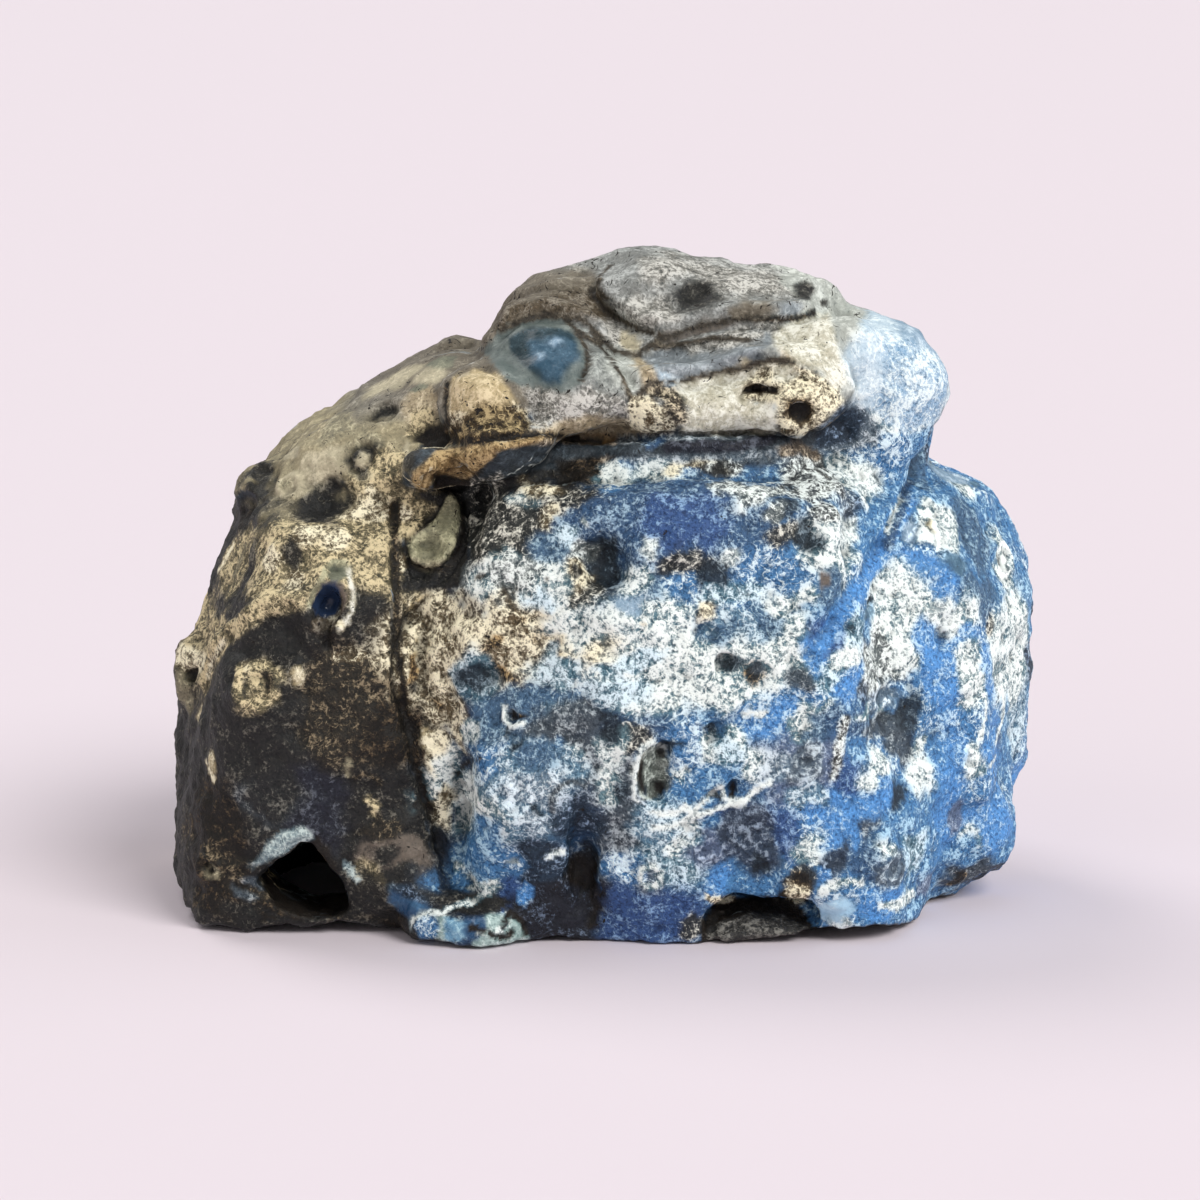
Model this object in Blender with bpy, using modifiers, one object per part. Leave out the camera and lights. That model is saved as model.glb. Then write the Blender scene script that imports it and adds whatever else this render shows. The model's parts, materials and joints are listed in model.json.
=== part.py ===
"""Agate geode: a rugged, thick-walled nodule with a hollow inside, standing on its broken foot.

The stone is one piece. Rounded masses are heaped up and melted into one body, which gets its
folded cap. Then its faces are worked over with broad swells, dents and pits, and weathered. Last
come the cuts: the hollow inside, the window that looks into it, the notch and the broken foot.

The tables are in millimetres, seen from the front: X to the right, Y away from the viewer, Z up.
The origin is on the floor, under the middle of the stone.
"""

import math
from typing import NamedTuple

import bmesh
import bpy
from mathutils import Euler, Matrix, Vector
from mathutils.bvhtree import BVHTree

MM = 0.001

# Driving dimensions, in millimetres.
BODY_GRAIN = 1.2  # grain at which the great masses melt together
SKIN_GRAIN = 0.8  # grain of the finished skin
STONE_SHARE = 0.075  # share of the skin's triangles that the stone keeps
HOLLOW_SHARE = 0.12
BROAD_WEATHERING = (14, 3.0)  # how wide its lumps are, and how high
FINE_WEATHERING = (4.5, 1.2)
HOLLOW_LUMPS = (8, 3.0)
FOOT_TILE = (130, 100, 26, 20)  # width and depth of the foot's tool, and its cells each way
FOOT_DEPTH = 30
FOOT_SWELL = 1.3  # how high the foot's broad hollows stand clear of the floor
FOOT_RIPPLE = 0.9


class Mass(NamedTuple):
    """A rounded lump, or the tool that cuts one away."""

    name: str
    centre: tuple  # where its middle is
    size: tuple  # its full width, depth and height before it is turned
    turn: tuple = (0.0, 0.0, 0.0)  # degrees about X, Y and Z
    roundness: float = 0.9  # 0 is a block and 1 an ellipsoid


class Dab(NamedTuple):
    """A swell or a dent pressed into a face."""

    name: str
    place: tuple  # a point near the skin: it is pressed where the skin comes closest
    width: float
    height: float
    lift: float  # how far the skin rises there, or sinks if negative
    slant: float = 0.0  # degrees that its height leans to the right
    crispness: float = 0.0  # 0 fades out softly and 1 has a steep edge


class Opening(NamedTuple):
    """A hole through the front wall, by its outline in X and Z."""

    name: str
    outline: list
    mouth: float  # Y in front of the wall
    end: float  # Y of its far end, at the height of the floor
    climb: float = 0.0  # how much further its far end goes with each millimetre of height


# The great masses that give the stone its outline.
BODY = [
    Mass("front_block", (8, -4, 24), (54, 56, 66), (0, 0, -4), 0.66),
    Mass("front_cheek", (-3, -6, 22), (35, 51, 60), (0, 0, 6), 0.66),
    Mass("left_block", (-27.9, -2, 20), (41, 49, 60), (0, 11, 6), 0.6),
    Mass("right_block", (28, 3, 24.5), (43, 44, 55), (0, -4, -30), 0.74),
    Mass("right_flank", (33, 4, 14), (26, 34, 44), (0, 6, 0), 0.7),
    Mass("right_heel", (24, -11, 8), (30, 36, 34), (0, 0, -14), 0.7),
    Mass("back_block", (2, 14, 22), (84, 44, 66), (0, 0, 0), 0.7),
    Mass("left_slope", (-24, 3, 47.2), (40, 40, 23), (0, -35, 0), 0.7),
    Mass("cap_core", (8, 4, 57), (42, 40, 26), (0, 0, 0), 0.8),
    Mass("right_shoulder", (29.6, 0, 58), (20, 26, 20), (0, 30, 0), 0.75),
]

# The smooth, folded lumps of the cap, and what stands out of the faces.
LUMPS = [
    Mass("cap_top", (15, 3, 67.3), (33, 24, 11), (0, 8, 0)),
    Mass("cap_crown", (6, 3, 69.8), (17, 22, 9)),
    Mass("cap_left", (-3, 4, 66), (19, 22, 12), (0, -14, 0)),
    Mass("blue_dome", (-5.5, -8, 63), (16, 15, 12), (0, 0, 0), 0.95),
    Mass("knob", (-12.8, -16, 58.2), (9.5, 11, 9.5), (0, 0, 0), 0.7),
    Mass("middle_fold", (13, -8, 64), (24, 12, 8.5), (0, -10, 0)),
    Mass("band_left", (-3, -14, 59.5), (20, 12, 9), (0, -6, 0)),
    Mass("band_middle", (8.5, -14.5, 59), (16, 12, 9)),
    Mass("band_right", (20, -13, 60), (17, 13, 10)),
    Mass("cap_corner", (26, -7, 62.5), (13, 16, 13), (0, 20, 0)),
    Mass("ledge", (-13.5, -19, 53.2), (17, 12, 5.5), (0, -14, 0), 0.8),
    Mass("left_nub", (-46.3, -6, 26), (6, 8, 9)),
    Mass("left_bump", (-38, -5, 47), (8, 12, 8)),
    Mass("boss", (-22, -21, 6.5), (14, 12, 9), (0, 0, 0), 0.85),
    Mass("agate_lip", (-15, -24, 1.5), (16, 12, 7), (0, 10, 0), 0.8),
]

# The relief of the faces, from the great swells to the scars.
RELIEF = [
    Dab("white_swell", (1, -32, 33), 46, 18, 1.6, 80),
    Dab("blue_field", (12, -28, 46), 32, 14, 1.2),
    Dab("ringed_disc", (-9, -32, 19), 17, 17, 1.8, 0, 0.5),
    Dab("foot_swell", (6, -32, 8), 14, 15, 1.6),
    Dab("right_foot_swell", (24, -28, 8), 18, 15, 1.6),
    Dab("left_face_swell", (-34, -24, 38), 20, 18, 1.0),
    Dab("left_face_disc", (-38, -24, 27), 12, 11, 1.3, 0, 0.4),
    Dab("right_face_swell", (39, -14, 40), 14, 14, 1.6),
    Dab("right_face_disc", (42, -12, 18), 16, 16, 1.4),
    Dab("right_edge", (50, 4, 37), 22, 20, 1.8),
    Dab("crease_top", (-16.5, -26, 48), 6, 20, -3.0, -8),
    Dab("crease_middle", (-20, -26, 33), 6, 22, -3.0),
    Dab("crease_foot", (-17.5, -27, 14), 6, 22, -3.0, -6),
    Dab("cap_groove", (11, -24, 54.6), 46, 7, -2.0),
    Dab("foot_gully", (-1.5, -30, 8), 5, 22, -3.0),
    Dab("right_gully", (28, -24, 44), 5, 30, -1.8, 28),
    Dab("face_pit", (-0.5, -32, 43.5), 8, 8, -2.4, 0, 0.7),
    Dab("lens_scar", (6.2, -32, 20.5), 4.6, 9, -2.2, 8, 0.8),
    Dab("disc_hole", (-13.8, -32, 31), 4.4, 4.4, -1.6, 0, 0.8),
    Dab("chip", (-18.5, -26, 45.5), 6, 9, -2.0, 30, 0.6),
    Dab("pit_rim", (-30, -24, 37.7), 8.5, 12, 1.6, 14, 0.6),
    Dab("rimmed_pit", (-30, -25, 37.5), 4.6, 6.4, -3.8, 14, 0.8),
    Dab("knob_crevice", (-18.5, -18, 54.5), 6, 6, -2.6),
    Dab("ledge_crevice", (-17, -25, 50.2), 8, 4, -2.4),
    Dab("cap_hole", (17, -20.5, 59.8), 5, 3.4, -1.6, 80, 0.5),
]

# The hollow: its main room, and the rooms either side. It is open at the foot.
HOLLOW = [
    Mass("main_room", (4, 3, 12), (50, 38, 58), (0, 0, 0), 0.8),
    Mass("side_room", (-26, -2, 8), (28, 28, 24), (0, 0, 0), 0.8),
    Mass("right_room", (22, 4, 8), (30, 26, 30), (0, 0, 0), 0.8),
]

WINDOW = Opening(
    "window",
    [(-36, 3), (-38.5, 5.8), (-36, 8.4), (-32.6, 11), (-30.6, 9), (-28.6, 6), (-27.8, 2.4), (-32, 1.6)],
    mouth=-32,
    end=-9,
)
NOTCH = Opening(
    "notch",
    [(11.5, 4), (14, 5.6), (18, 5), (22, 5.8), (24, 4.2), (24.4, -3), (11.5, -3)],
    mouth=-38,
    end=-28.5,
    climb=1.5,
)


def as_object(name, bm, collection):
    mesh = bpy.data.meshes.new(name)
    bm.to_mesh(mesh)
    bm.free()
    made = bpy.data.objects.new(name, mesh)
    collection.objects.link(made)
    return made


def boulder(mass):
    """The mesh of one mass: a subdivided cube drawn part of the way to an ellipsoid."""
    bm = bmesh.new()
    bmesh.ops.create_cube(bm, size=1.0)
    bmesh.ops.subdivide_edges(bm, edges=bm.edges[:], cuts=7, use_grid_fill=True)
    place = (
        Matrix.Translation(Vector(mass.centre) * MM)
        @ Euler([math.radians(angle) for angle in mass.turn]).to_matrix().to_4x4()
        @ Matrix.Diagonal((*(side * MM for side in mass.size), 1.0))
    )
    for vertex in bm.verts:
        ball = vertex.co.normalized() * 0.5
        vertex.co = place @ vertex.co.lerp(ball, mass.roundness)
    mesh = bpy.data.meshes.new(mass.name)
    bm.to_mesh(mesh)
    bm.free()
    return mesh


def heap(name, masses, collection, base=None):
    """One object that holds all these masses, still overlapping, with the mesh of base if given."""
    bm = bmesh.new()
    if base:
        bm.from_mesh(base)
        bpy.data.meshes.remove(base)
    for mass in masses:
        lump = boulder(mass)
        bm.from_mesh(lump)
        bpy.data.meshes.remove(lump)
    return as_object(name, bm, collection)


def melt(obj, grain, passes):
    """Makes overlapping masses one closed skin, and softens the creases between them."""
    skin = obj.modifiers.new("melt", "REMESH")
    skin.mode = "VOXEL"
    skin.voxel_size = grain * MM
    soften = obj.modifiers.new("soften", "SMOOTH")
    soften.factor = 0.5
    soften.iterations = passes


def settled(obj):
    """The object's shape with its modifiers applied, as a mesh. The object goes."""
    bpy.context.view_layer.update()
    graph = bpy.context.evaluated_depsgraph_get()
    mesh = bpy.data.meshes.new_from_object(obj.evaluated_get(graph))
    bpy.data.objects.remove(obj)
    return mesh


def press(mesh, dabs):
    """Works the skin over: each dab lifts or sinks it about the closest point, along its normal there."""
    bm = bmesh.new()
    bm.from_mesh(mesh)
    bm.normal_update()
    skin = BVHTree.FromBMesh(bm)
    for dab in dabs:
        middle = skin.find_nearest(Vector(dab.place) * MM)[0]
        reach = max(dab.width, dab.height) / 2 * MM
        near = [vertex for vertex in bm.verts if (vertex.co - middle).length < reach]
        outward = sum((vertex.normal for vertex in near), Vector()).normalized()
        sideways = Vector((0, 0, 1)).cross(-outward).normalized()
        upward = sideways.cross(-outward).normalized()
        lean = Matrix.Rotation(math.radians(dab.slant), 3, -outward)
        across = lean @ sideways / (dab.width / 2 * MM)
        along = lean @ upward / (dab.height / 2 * MM)
        for vertex in near:
            offset = vertex.co - middle
            share = math.hypot(offset.dot(across), offset.dot(along))
            if share < 1:
                fade = min(1.0, (1 - share) / (1 - 0.7 * dab.crispness))
                vertex.co += outward * dab.lift * MM * fade * fade * (3 - 2 * fade)
    bm.to_mesh(mesh)
    bm.free()


def weather(obj, name, weathering):
    """Roughens the skin with lumps of this width and height."""
    width, height = weathering
    texture = bpy.data.textures.new(name, "CLOUDS")
    texture.noise_scale = width * MM
    texture.noise_depth = 2
    displace = obj.modifiers.new(name, "DISPLACE")
    displace.texture = texture
    displace.texture_coords = "LOCAL"
    displace.strength = height * MM
    displace.mid_level = 0.5


def thin(obj, share):
    """Keeps this share of the triangles, where the shape needs them most."""
    decimate = obj.modifiers.new("thin", "DECIMATE")
    decimate.ratio = share


def tool(obj):
    obj.hide_render = True
    obj.display_type = "WIRE"
    return obj


def draw_out(bm, sweep):
    """Draws an open sheet out into a closed block: sweep moves each corner of the far side."""
    swept = bmesh.ops.extrude_face_region(bm, geom=bm.faces[:])
    for part in swept["geom"]:
        if isinstance(part, bmesh.types.BMVert):
            sweep(part)
    bmesh.ops.recalc_face_normals(bm, faces=bm.faces[:])


def opening_tool(opening, collection):
    bm = bmesh.new()
    bm.faces.new([bm.verts.new(Vector((x, opening.mouth, z)) * MM) for x, z in opening.outline])

    def push_back(corner):
        corner.co.y = opening.end * MM + opening.climb * corner.co.z

    draw_out(bm, push_back)
    return tool(as_object(opening.name, bm, collection))


def foot_tool(collection):
    """Cuts the foot: a slab whose upper side is the floor, apart from hollows that stand clear of it."""
    width, depth, columns, rows = FOOT_TILE
    bm = bmesh.new()
    bmesh.ops.create_grid(bm, x_segments=columns, y_segments=rows, size=0.5)
    for vertex in bm.verts:
        x, y = vertex.co.x * width, vertex.co.y * depth
        swell = FOOT_SWELL * math.sin(x / 9 + 1) * math.cos(y / 11)
        ripple = FOOT_RIPPLE * math.sin(x / 4.7 + y / 6)
        vertex.co = Vector((x, y, max(0.0, swell + ripple))) * MM

    def drop(corner):
        corner.co.z = -FOOT_DEPTH * MM

    draw_out(bm, drop)
    return tool(as_object("foot_tool", bm, collection))


def cut(stone, cutter):
    """Takes the cutter's shape out of the stone."""
    boolean = stone.modifiers.new(cutter.name, "BOOLEAN")
    boolean.operation = "DIFFERENCE"
    boolean.object = cutter


def centred(mesh):
    """Sets the middle of the stone's length and depth over the origin."""
    across = [vertex.co.x for vertex in mesh.vertices]
    back = [vertex.co.y for vertex in mesh.vertices]
    middle = Vector((min(across) + max(across), min(back) + max(back), 0)) / 2
    mesh.transform(Matrix.Translation(-middle))
    return mesh


def blue_chalcedony():
    """The stone's colour: the deep, slightly waxy blue of its skin."""
    material = bpy.data.materials.new("blue_chalcedony")
    material.use_nodes = True
    shader = material.node_tree.nodes["Principled BSDF"]
    shader.inputs["Base Color"].default_value = (0.13, 0.19, 0.34, 1)
    shader.inputs["Roughness"].default_value = 0.55
    shader.inputs["Metallic"].default_value = 0.0
    return material


def clear_scene():
    for obj in list(bpy.data.objects):
        bpy.data.objects.remove(obj)


def main():
    clear_scene()
    parts = bpy.data.collections.new("agate_geode")
    cutters = bpy.data.collections.new("cutters")
    for collection in (parts, cutters):
        bpy.context.scene.collection.children.link(collection)

    body = heap("body", BODY, parts)
    melt(body, BODY_GRAIN, passes=12)
    lumpy = heap("lumpy", LUMPS, parts, base=settled(body))
    melt(lumpy, SKIN_GRAIN, passes=4)
    skin = settled(lumpy)
    press(skin, RELIEF)

    stone = bpy.data.objects.new("stone", skin)
    parts.objects.link(stone)
    stone.data.materials.append(blue_chalcedony())
    weather(stone, "broad_weathering", BROAD_WEATHERING)
    weather(stone, "fine_weathering", FINE_WEATHERING)
    thin(stone, STONE_SHARE)

    hollow = tool(heap("hollow", HOLLOW, cutters))
    melt(hollow, BODY_GRAIN, passes=6)
    weather(hollow, "hollow_lumps", HOLLOW_LUMPS)
    thin(hollow, HOLLOW_SHARE)
    for cutter in (hollow, opening_tool(WINDOW, cutters), opening_tool(NOTCH, cutters), foot_tool(cutters)):
        cut(stone, cutter)
    geode = bpy.data.objects.new("geode", centred(settled(stone)))
    parts.objects.link(geode)


main()
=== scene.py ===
# %% [markdown]
# # An agate geode, finished
# The stone is one natural piece: a rugged nodule of blue chalcedony under a lacy white crust, with a
# smooth folded cap, small rings of silica in its skin and dark openings at its foot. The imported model
# gives its body. Here that body gets its fine relief and its colours, in the order in which nature
# made them: the folds first, then the scars, then the crust and the stains.

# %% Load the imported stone
import math

import bpy
import numpy as np
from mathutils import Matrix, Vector
from mathutils.bvhtree import BVHTree
from mathutils.noise import fractal
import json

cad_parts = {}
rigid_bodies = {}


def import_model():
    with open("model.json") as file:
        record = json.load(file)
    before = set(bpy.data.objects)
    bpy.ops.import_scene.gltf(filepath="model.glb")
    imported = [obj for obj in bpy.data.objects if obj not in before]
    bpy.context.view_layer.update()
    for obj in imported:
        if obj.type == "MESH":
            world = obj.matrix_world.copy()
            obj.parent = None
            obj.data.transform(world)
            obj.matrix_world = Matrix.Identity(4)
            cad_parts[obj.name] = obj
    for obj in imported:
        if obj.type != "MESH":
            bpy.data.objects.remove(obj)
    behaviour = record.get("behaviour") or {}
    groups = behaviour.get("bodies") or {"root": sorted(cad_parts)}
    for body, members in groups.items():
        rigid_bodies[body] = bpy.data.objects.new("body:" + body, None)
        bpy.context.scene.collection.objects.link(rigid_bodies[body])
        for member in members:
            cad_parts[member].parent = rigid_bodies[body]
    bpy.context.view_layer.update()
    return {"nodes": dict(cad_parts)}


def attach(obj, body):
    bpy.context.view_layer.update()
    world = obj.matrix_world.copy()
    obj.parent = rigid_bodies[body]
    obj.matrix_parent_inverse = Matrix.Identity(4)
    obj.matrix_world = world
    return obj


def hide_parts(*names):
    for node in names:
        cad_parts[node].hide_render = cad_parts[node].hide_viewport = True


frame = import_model()
MM = 0.001

# %% [markdown]
# ## Camera
# The stone is seen from the front, a little from above. The camera comes first, because the marks on
# the skin are placed by looking through it: a mark has a place in the picture, and the ray through that
# place finds the spot on the stone. A long lens from almost half a metre keeps the near side from
# swelling.

# %% Camera
PICTURE = 1200  # the picture is this many pixels wide and high
TARGET = Vector((-0.73, -1.67, 33.6)) * MM
DISTANCE = 450 * MM
ELEVATION = math.radians(10)
FOCUS = 3870  # the lens's focal length in picture pixels
SENSOR = 36
NEAREST = 10 * MM  # the camera sees nothing closer than this

forward = Vector((0, math.cos(ELEVATION), -math.sin(ELEVATION)))
upward = Vector((0, math.sin(ELEVATION), math.cos(ELEVATION)))
rightward = Vector((1, 0, 0))
eye = TARGET - forward * DISTANCE

bpy.ops.object.camera_add(location=eye, rotation=(math.pi / 2 - ELEVATION, 0, 0))
camera = bpy.context.object
camera.data.sensor_width = SENSOR
camera.data.lens = SENSOR * FOCUS / PICTURE
camera.data.clip_start = NEAREST
bpy.context.scene.camera = camera
print("lens, mm:", round(camera.data.lens, 1))

# %% [markdown]
# ## Setting
# A wide pale floor and nothing else. The camera looks down on it, so it fills the whole picture and no
# horizon shows.

# %% Pale floor
FLOOR_COLOUR = (0.778, 0.693, 0.744)
FLOOR_WIDTH = 40
FLOOR_GAP = 0.2 * MM  # between the foot and the floor, so that no face lies in another


def pick(obj):
    """Deselects everything, then makes this the selected and active object."""
    bpy.ops.object.select_all(action="DESELECT")
    obj.select_set(True)
    bpy.context.view_layer.objects.active = obj


def plain_material(name, colour, roughness):
    """A material of one colour, for what is not part of the stone."""
    material = bpy.data.materials.new(name)
    material.use_nodes = True
    shader = material.node_tree.nodes["Principled BSDF"]
    shader.inputs["Base Color"].default_value = (*colour, 1)
    shader.inputs["Roughness"].default_value = roughness
    return material


bpy.ops.object.select_all(action="DESELECT")
bpy.ops.mesh.primitive_plane_add(size=FLOOR_WIDTH, location=(0, 0, -FLOOR_GAP))
floor = bpy.context.object
floor.name = "pale_floor"
floor.data.materials.append(plain_material("pale_floor", FLOOR_COLOUR, 1.0))
print("floor, m:", tuple(floor.dimensions)[:2])

# %% [markdown]
# ## Light
# Soft studio light from far off, so that it falls evenly on the floor. A broad key from high on the
# right of the camera models the lumps, and one from behind on the left gives the soft shadow on the
# right. A cool one lights the right side, a weak warm one fills the dark left face, and a pale world
# softens the rest.

# %% Lamps
LAMPS = [
    # name, the side it shines from, strength, softness, colour
    ("key", (0.75, -0.9, 1.1), 2.1, 30, (1.0, 0.99, 0.97)),
    ("back", (-0.7, 0.8, 1.3), 1.0, 30, (1.0, 0.98, 0.97)),
    ("side", (1.4, 0.1, 0.5), 0.7, 40, (0.92, 0.96, 1.0)),
    ("fill", (-1.2, -1.0, 0.6), 0.42, 60, (1.0, 0.97, 0.92)),
]
ROOM_COLOUR = (0.83, 0.84, 0.86, 1)
ROOM_STRENGTH = 0.38


def lamp(name, direction, strength, softness, colour):
    """A broad, distant lamp that shines from this direction; softness is its width in degrees."""
    bpy.ops.object.light_add(type="SUN", location=direction)
    light = bpy.context.object
    light.name = name
    light.data.energy = strength
    light.data.angle = math.radians(softness)
    light.data.color = colour
    light.rotation_mode = "QUATERNION"
    light.rotation_quaternion = Vector(direction).to_track_quat("Z", "Y")


for row in LAMPS:
    lamp(*row)

world = bpy.data.worlds.new("pale_room")
bpy.context.scene.world = world
world.use_nodes = True
room = world.node_tree.nodes["Background"]
room.inputs["Color"].default_value = ROOM_COLOUR
room.inputs["Strength"].default_value = ROOM_STRENGTH
bpy.context.scene.view_settings.view_transform = "Standard"

# %% [markdown]
# ## The stone's body
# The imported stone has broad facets. A sculptor would remesh it finely and smooth the facets away
# before touching the details, and so does this cell. The copy's loose triangles are merged first.

# %% Fine clay
GRAIN = 0.4 * MM
MERGE_GAP = 0.002 * MM
EASE_STEPS = 14

packed = frame["nodes"]["geode"]
stone = bpy.data.objects.new("geode_stone", packed.data.copy())
bpy.context.scene.collection.objects.link(stone)
pick(stone)
bpy.ops.object.mode_set(mode="EDIT")
bpy.ops.mesh.select_all(action="SELECT")
bpy.ops.mesh.remove_doubles(threshold=MERGE_GAP)
bpy.ops.object.mode_set(mode="OBJECT")


def remesh():
    """The stone's skin again in even faces, without the crumbs that a pinched fold leaves inside."""
    pick(stone)
    stone.data.remesh_voxel_size = GRAIN
    bpy.ops.object.voxel_remesh()
    heights = [point.co.z for point in stone.data.vertices]
    bpy.ops.object.mode_set(mode="EDIT")
    bpy.ops.mesh.select_all(action="DESELECT")
    bpy.ops.object.mode_set(mode="OBJECT")
    stone.data.vertices[int(np.argmax(heights))].select = True
    bpy.ops.object.mode_set(mode="EDIT")
    bpy.ops.mesh.select_linked()
    bpy.ops.mesh.select_all(action="INVERT")
    bpy.ops.mesh.delete(type="VERT")
    bpy.ops.object.mode_set(mode="OBJECT")


def soften(passes, group=""):
    """Smooths the whole stone, or only the points of a vertex group."""
    pick(stone)
    smooth = stone.modifiers.new("smooth", "SMOOTH")
    smooth.factor = 0.5
    smooth.iterations = passes
    smooth.vertex_group = group
    bpy.ops.object.modifier_apply(modifier="smooth")


remesh()
soften(EASE_STEPS)
print("clay vertices:", len(stone.data.vertices))

# %% [markdown]
# ## Finding places on the stone
# `sight` is the ray test: a place in the picture, counted in pixels from its top left corner, gives a
# point on the stone and the way the stone faces there. A place just past the outline slides to the
# nearest point of the skin.

# %% Sight


class Clay:
    """The stone's points and facings as arrays, so that a whole face can be worked at once."""

    def __init__(self, obj):
        self.obj = obj
        self.read()

    def read(self):
        mesh = self.obj.data
        count = len(mesh.vertices)
        self.points = np.empty(count * 3)
        self.facing = np.empty(count * 3)
        mesh.vertices.foreach_get("co", self.points)
        mesh.vertices.foreach_get("normal", self.facing)
        self.points = self.points.reshape(-1, 3)
        self.facing = self.facing.reshape(-1, 3)

    def write(self):
        """Moves the stone's own points to where the arrays have them."""
        self.obj.data.vertices.foreach_set("co", self.points.ravel())
        self.obj.data.update()
        self.read()


clay = Clay(stone)
skin = BVHTree.FromObject(stone, bpy.context.evaluated_depsgraph_get())


def sight(u, v):
    """The point on the stone at this place in the picture, and the stone's facing there."""
    ray = forward + rightward * ((u - PICTURE / 2) / FOCUS) + upward * ((PICTURE / 2 - v) / FOCUS)
    hit = skin.ray_cast(eye, ray.normalized())
    if hit[0] is None:
        hit = skin.find_nearest(eye + ray.normalized() * DISTANCE)
    return np.array(hit[0]), np.array(hit[1])


def picture_places(points):
    """Where points of the stone appear in the picture, in its pixels."""
    offset = points - np.array(eye)
    scale = FOCUS / (offset @ np.array(forward))
    across = offset @ np.array(rightward) * scale
    up = offset @ np.array(upward) * scale
    return np.stack([PICTURE / 2 + across, PICTURE / 2 - up], 1)


print("middle of the face, mm:", [round(value / MM, 1) for value in sight(640, 680)[0]])

# %% [markdown]
# ## Noise
# Nothing on a stone is regular, so every edge below is broken up by noise. `lumps` gives a smooth
# random value for each point, and `size` is the width of its waves.

# %% Noise
SEED_STEP = Vector((3.7, 1.9, 5.3))


def lumps(points, size, octaves=3, seed=0):
    """Smooth random values about zero, mostly between -1 and 1, whose waves are about size wide."""
    shift = np.array(SEED_STEP) * seed
    places = (points / size + shift).tolist()
    return np.array([fractal(place, 1.0, 2.0, octaves) for place in places])


WARP = [(3.2 * MM, 0.26, 11), (1.2 * MM, 0.16, 12)]  # size of the waves, strength and seed


def ragged(points):
    """Random values, mostly between -0.4 and 0.4, that fray the edge of a mark."""
    return sum(strength * lumps(points, size, 2, seed) for size, strength, seed in WARP)


print("ragged near the middle:", round(float(ragged(np.array([sight(640, 680)[0]]))[0]), 2))

# %% [markdown]
# ## The shape of a mark
# A round mark is an ellipse that lies on the skin: so wide, so high and leaning so far. `spread` finds
# the points under it. A ramp between its middle and its edge says how strongly each point takes it.

# %% Round marks


def ramp(value, low, high):
    """0 below low, 1 above high and a smooth step between them."""
    step = np.clip((value - low) / (high - low), 0, 1)
    return step * step * (3 - 2 * step)


def fade(share, soft=0.5):
    """1 inside a mark and 0 outside, with a soft edge that is this share of its radius wide."""
    return 1 - ramp(share, 1 - soft / 2, 1 + soft / 2)


def frame_axes(facing, slant):
    """Two directions along the skin: across the mark, and up it, leaning by slant degrees."""
    across = np.cross((0.0, 0.0, 1.0), -facing)
    across = across / max(np.linalg.norm(across), 1e-6)
    along = np.cross(across, -facing)
    along = along / np.linalg.norm(along)
    lean = math.radians(slant)
    return (
        across * math.cos(lean) - along * math.sin(lean),
        across * math.sin(lean) + along * math.cos(lean),
    )


LEAST_LENGTH = 0.5  # no direction counts as more foreshortened than this


def stretch(direction):
    """How much longer a mark is on the skin than it looks from the front."""
    seen_length = math.hypot(direction @ np.array(rightward), direction @ np.array(upward))
    return 1 / max(LEAST_LENGTH, seen_length)


def spread(points, place, width, height, slant=0, reach=1.6):
    """The points near a mark and how far each is from its middle: 1 is on the mark's edge."""
    middle, facing = place
    across, along = frame_axes(facing, slant)
    half_width = width / 2 * MM * stretch(across)
    half_height = height / 2 * MM * stretch(along)
    half = max(half_width, half_height)
    near = np.flatnonzero(((points - middle) ** 2).sum(1) < (half * reach) ** 2)
    offset = points[near] - middle
    depth = offset @ facing / half
    share = np.sqrt((offset @ across / half_width) ** 2 + (offset @ along / half_height) ** 2 + depth**2)
    return near, share


print("a mark 4 mm wide covers points:", len(spread(clay.points, sight(640, 680), 4, 4, reach=1)[0]))

# %% [markdown]
# ## The inside of an outline
# Some marks have an edge of their own shape. Such an edge is a closed outline in the picture, and a
# point is inside when a line from it to the left crosses the outline an odd number of times. Points
# that face away are left out, except on the steep front walls.

# %% Outlined marks
MARGIN = 14  # points up to this many pixels outside an outline are measured too


def within(points, facing, outline):
    """The points in or near a closed outline in the picture, and how many mm inside it each one lies."""
    corners = np.array(outline, float)
    spots = picture_places(points)
    low, high = corners.min(0) - MARGIN, corners.max(0) + MARGIN
    turned = facing @ np.array(forward)
    toward_eye = (turned < 0) | ((turned < 0.5) & (points[:, 1] < 0))
    near = np.flatnonzero(((spots > low) & (spots < high)).all(1) & toward_eye)
    spots = spots[near]
    side = np.roll(corners, -1, 0) - corners
    offset = spots[:, None] - corners
    along = np.clip((offset * side).sum(2) / (side**2).sum(1), 0, 1)
    gaps = np.sqrt(((offset - along[..., None] * side) ** 2).sum(2)).min(1)
    start, end = corners[:, 1], corners[:, 1] + side[:, 1]
    height = spots[:, 1:2]
    crossed = (start > height) != (end > height)
    meets = corners[:, 0] + (height - start) / np.where(side[:, 1] == 0, 1, side[:, 1]) * side[:, 0]
    inside = (crossed & (spots[:, 0:1] < meets)).sum(1) % 2 == 1
    return near, np.where(inside, gaps, -gaps) * DISTANCE / FOCUS / MM


square = [(600, 640), (680, 640), (680, 720), (600, 720)]
depth = within(clay.points, clay.facing, square)[1]
print("from a square's edge to its middle, mm:", round(float(depth.max()), 1))

# %% [markdown]
# ## Smooth brush
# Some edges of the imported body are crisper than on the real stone: the rim of the front face, the lip
# beside the ledge and the walls of a few pits. A smooth brush melts them. In bpy that is a smooth
# modifier whose vertex group holds the brush marks.

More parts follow.
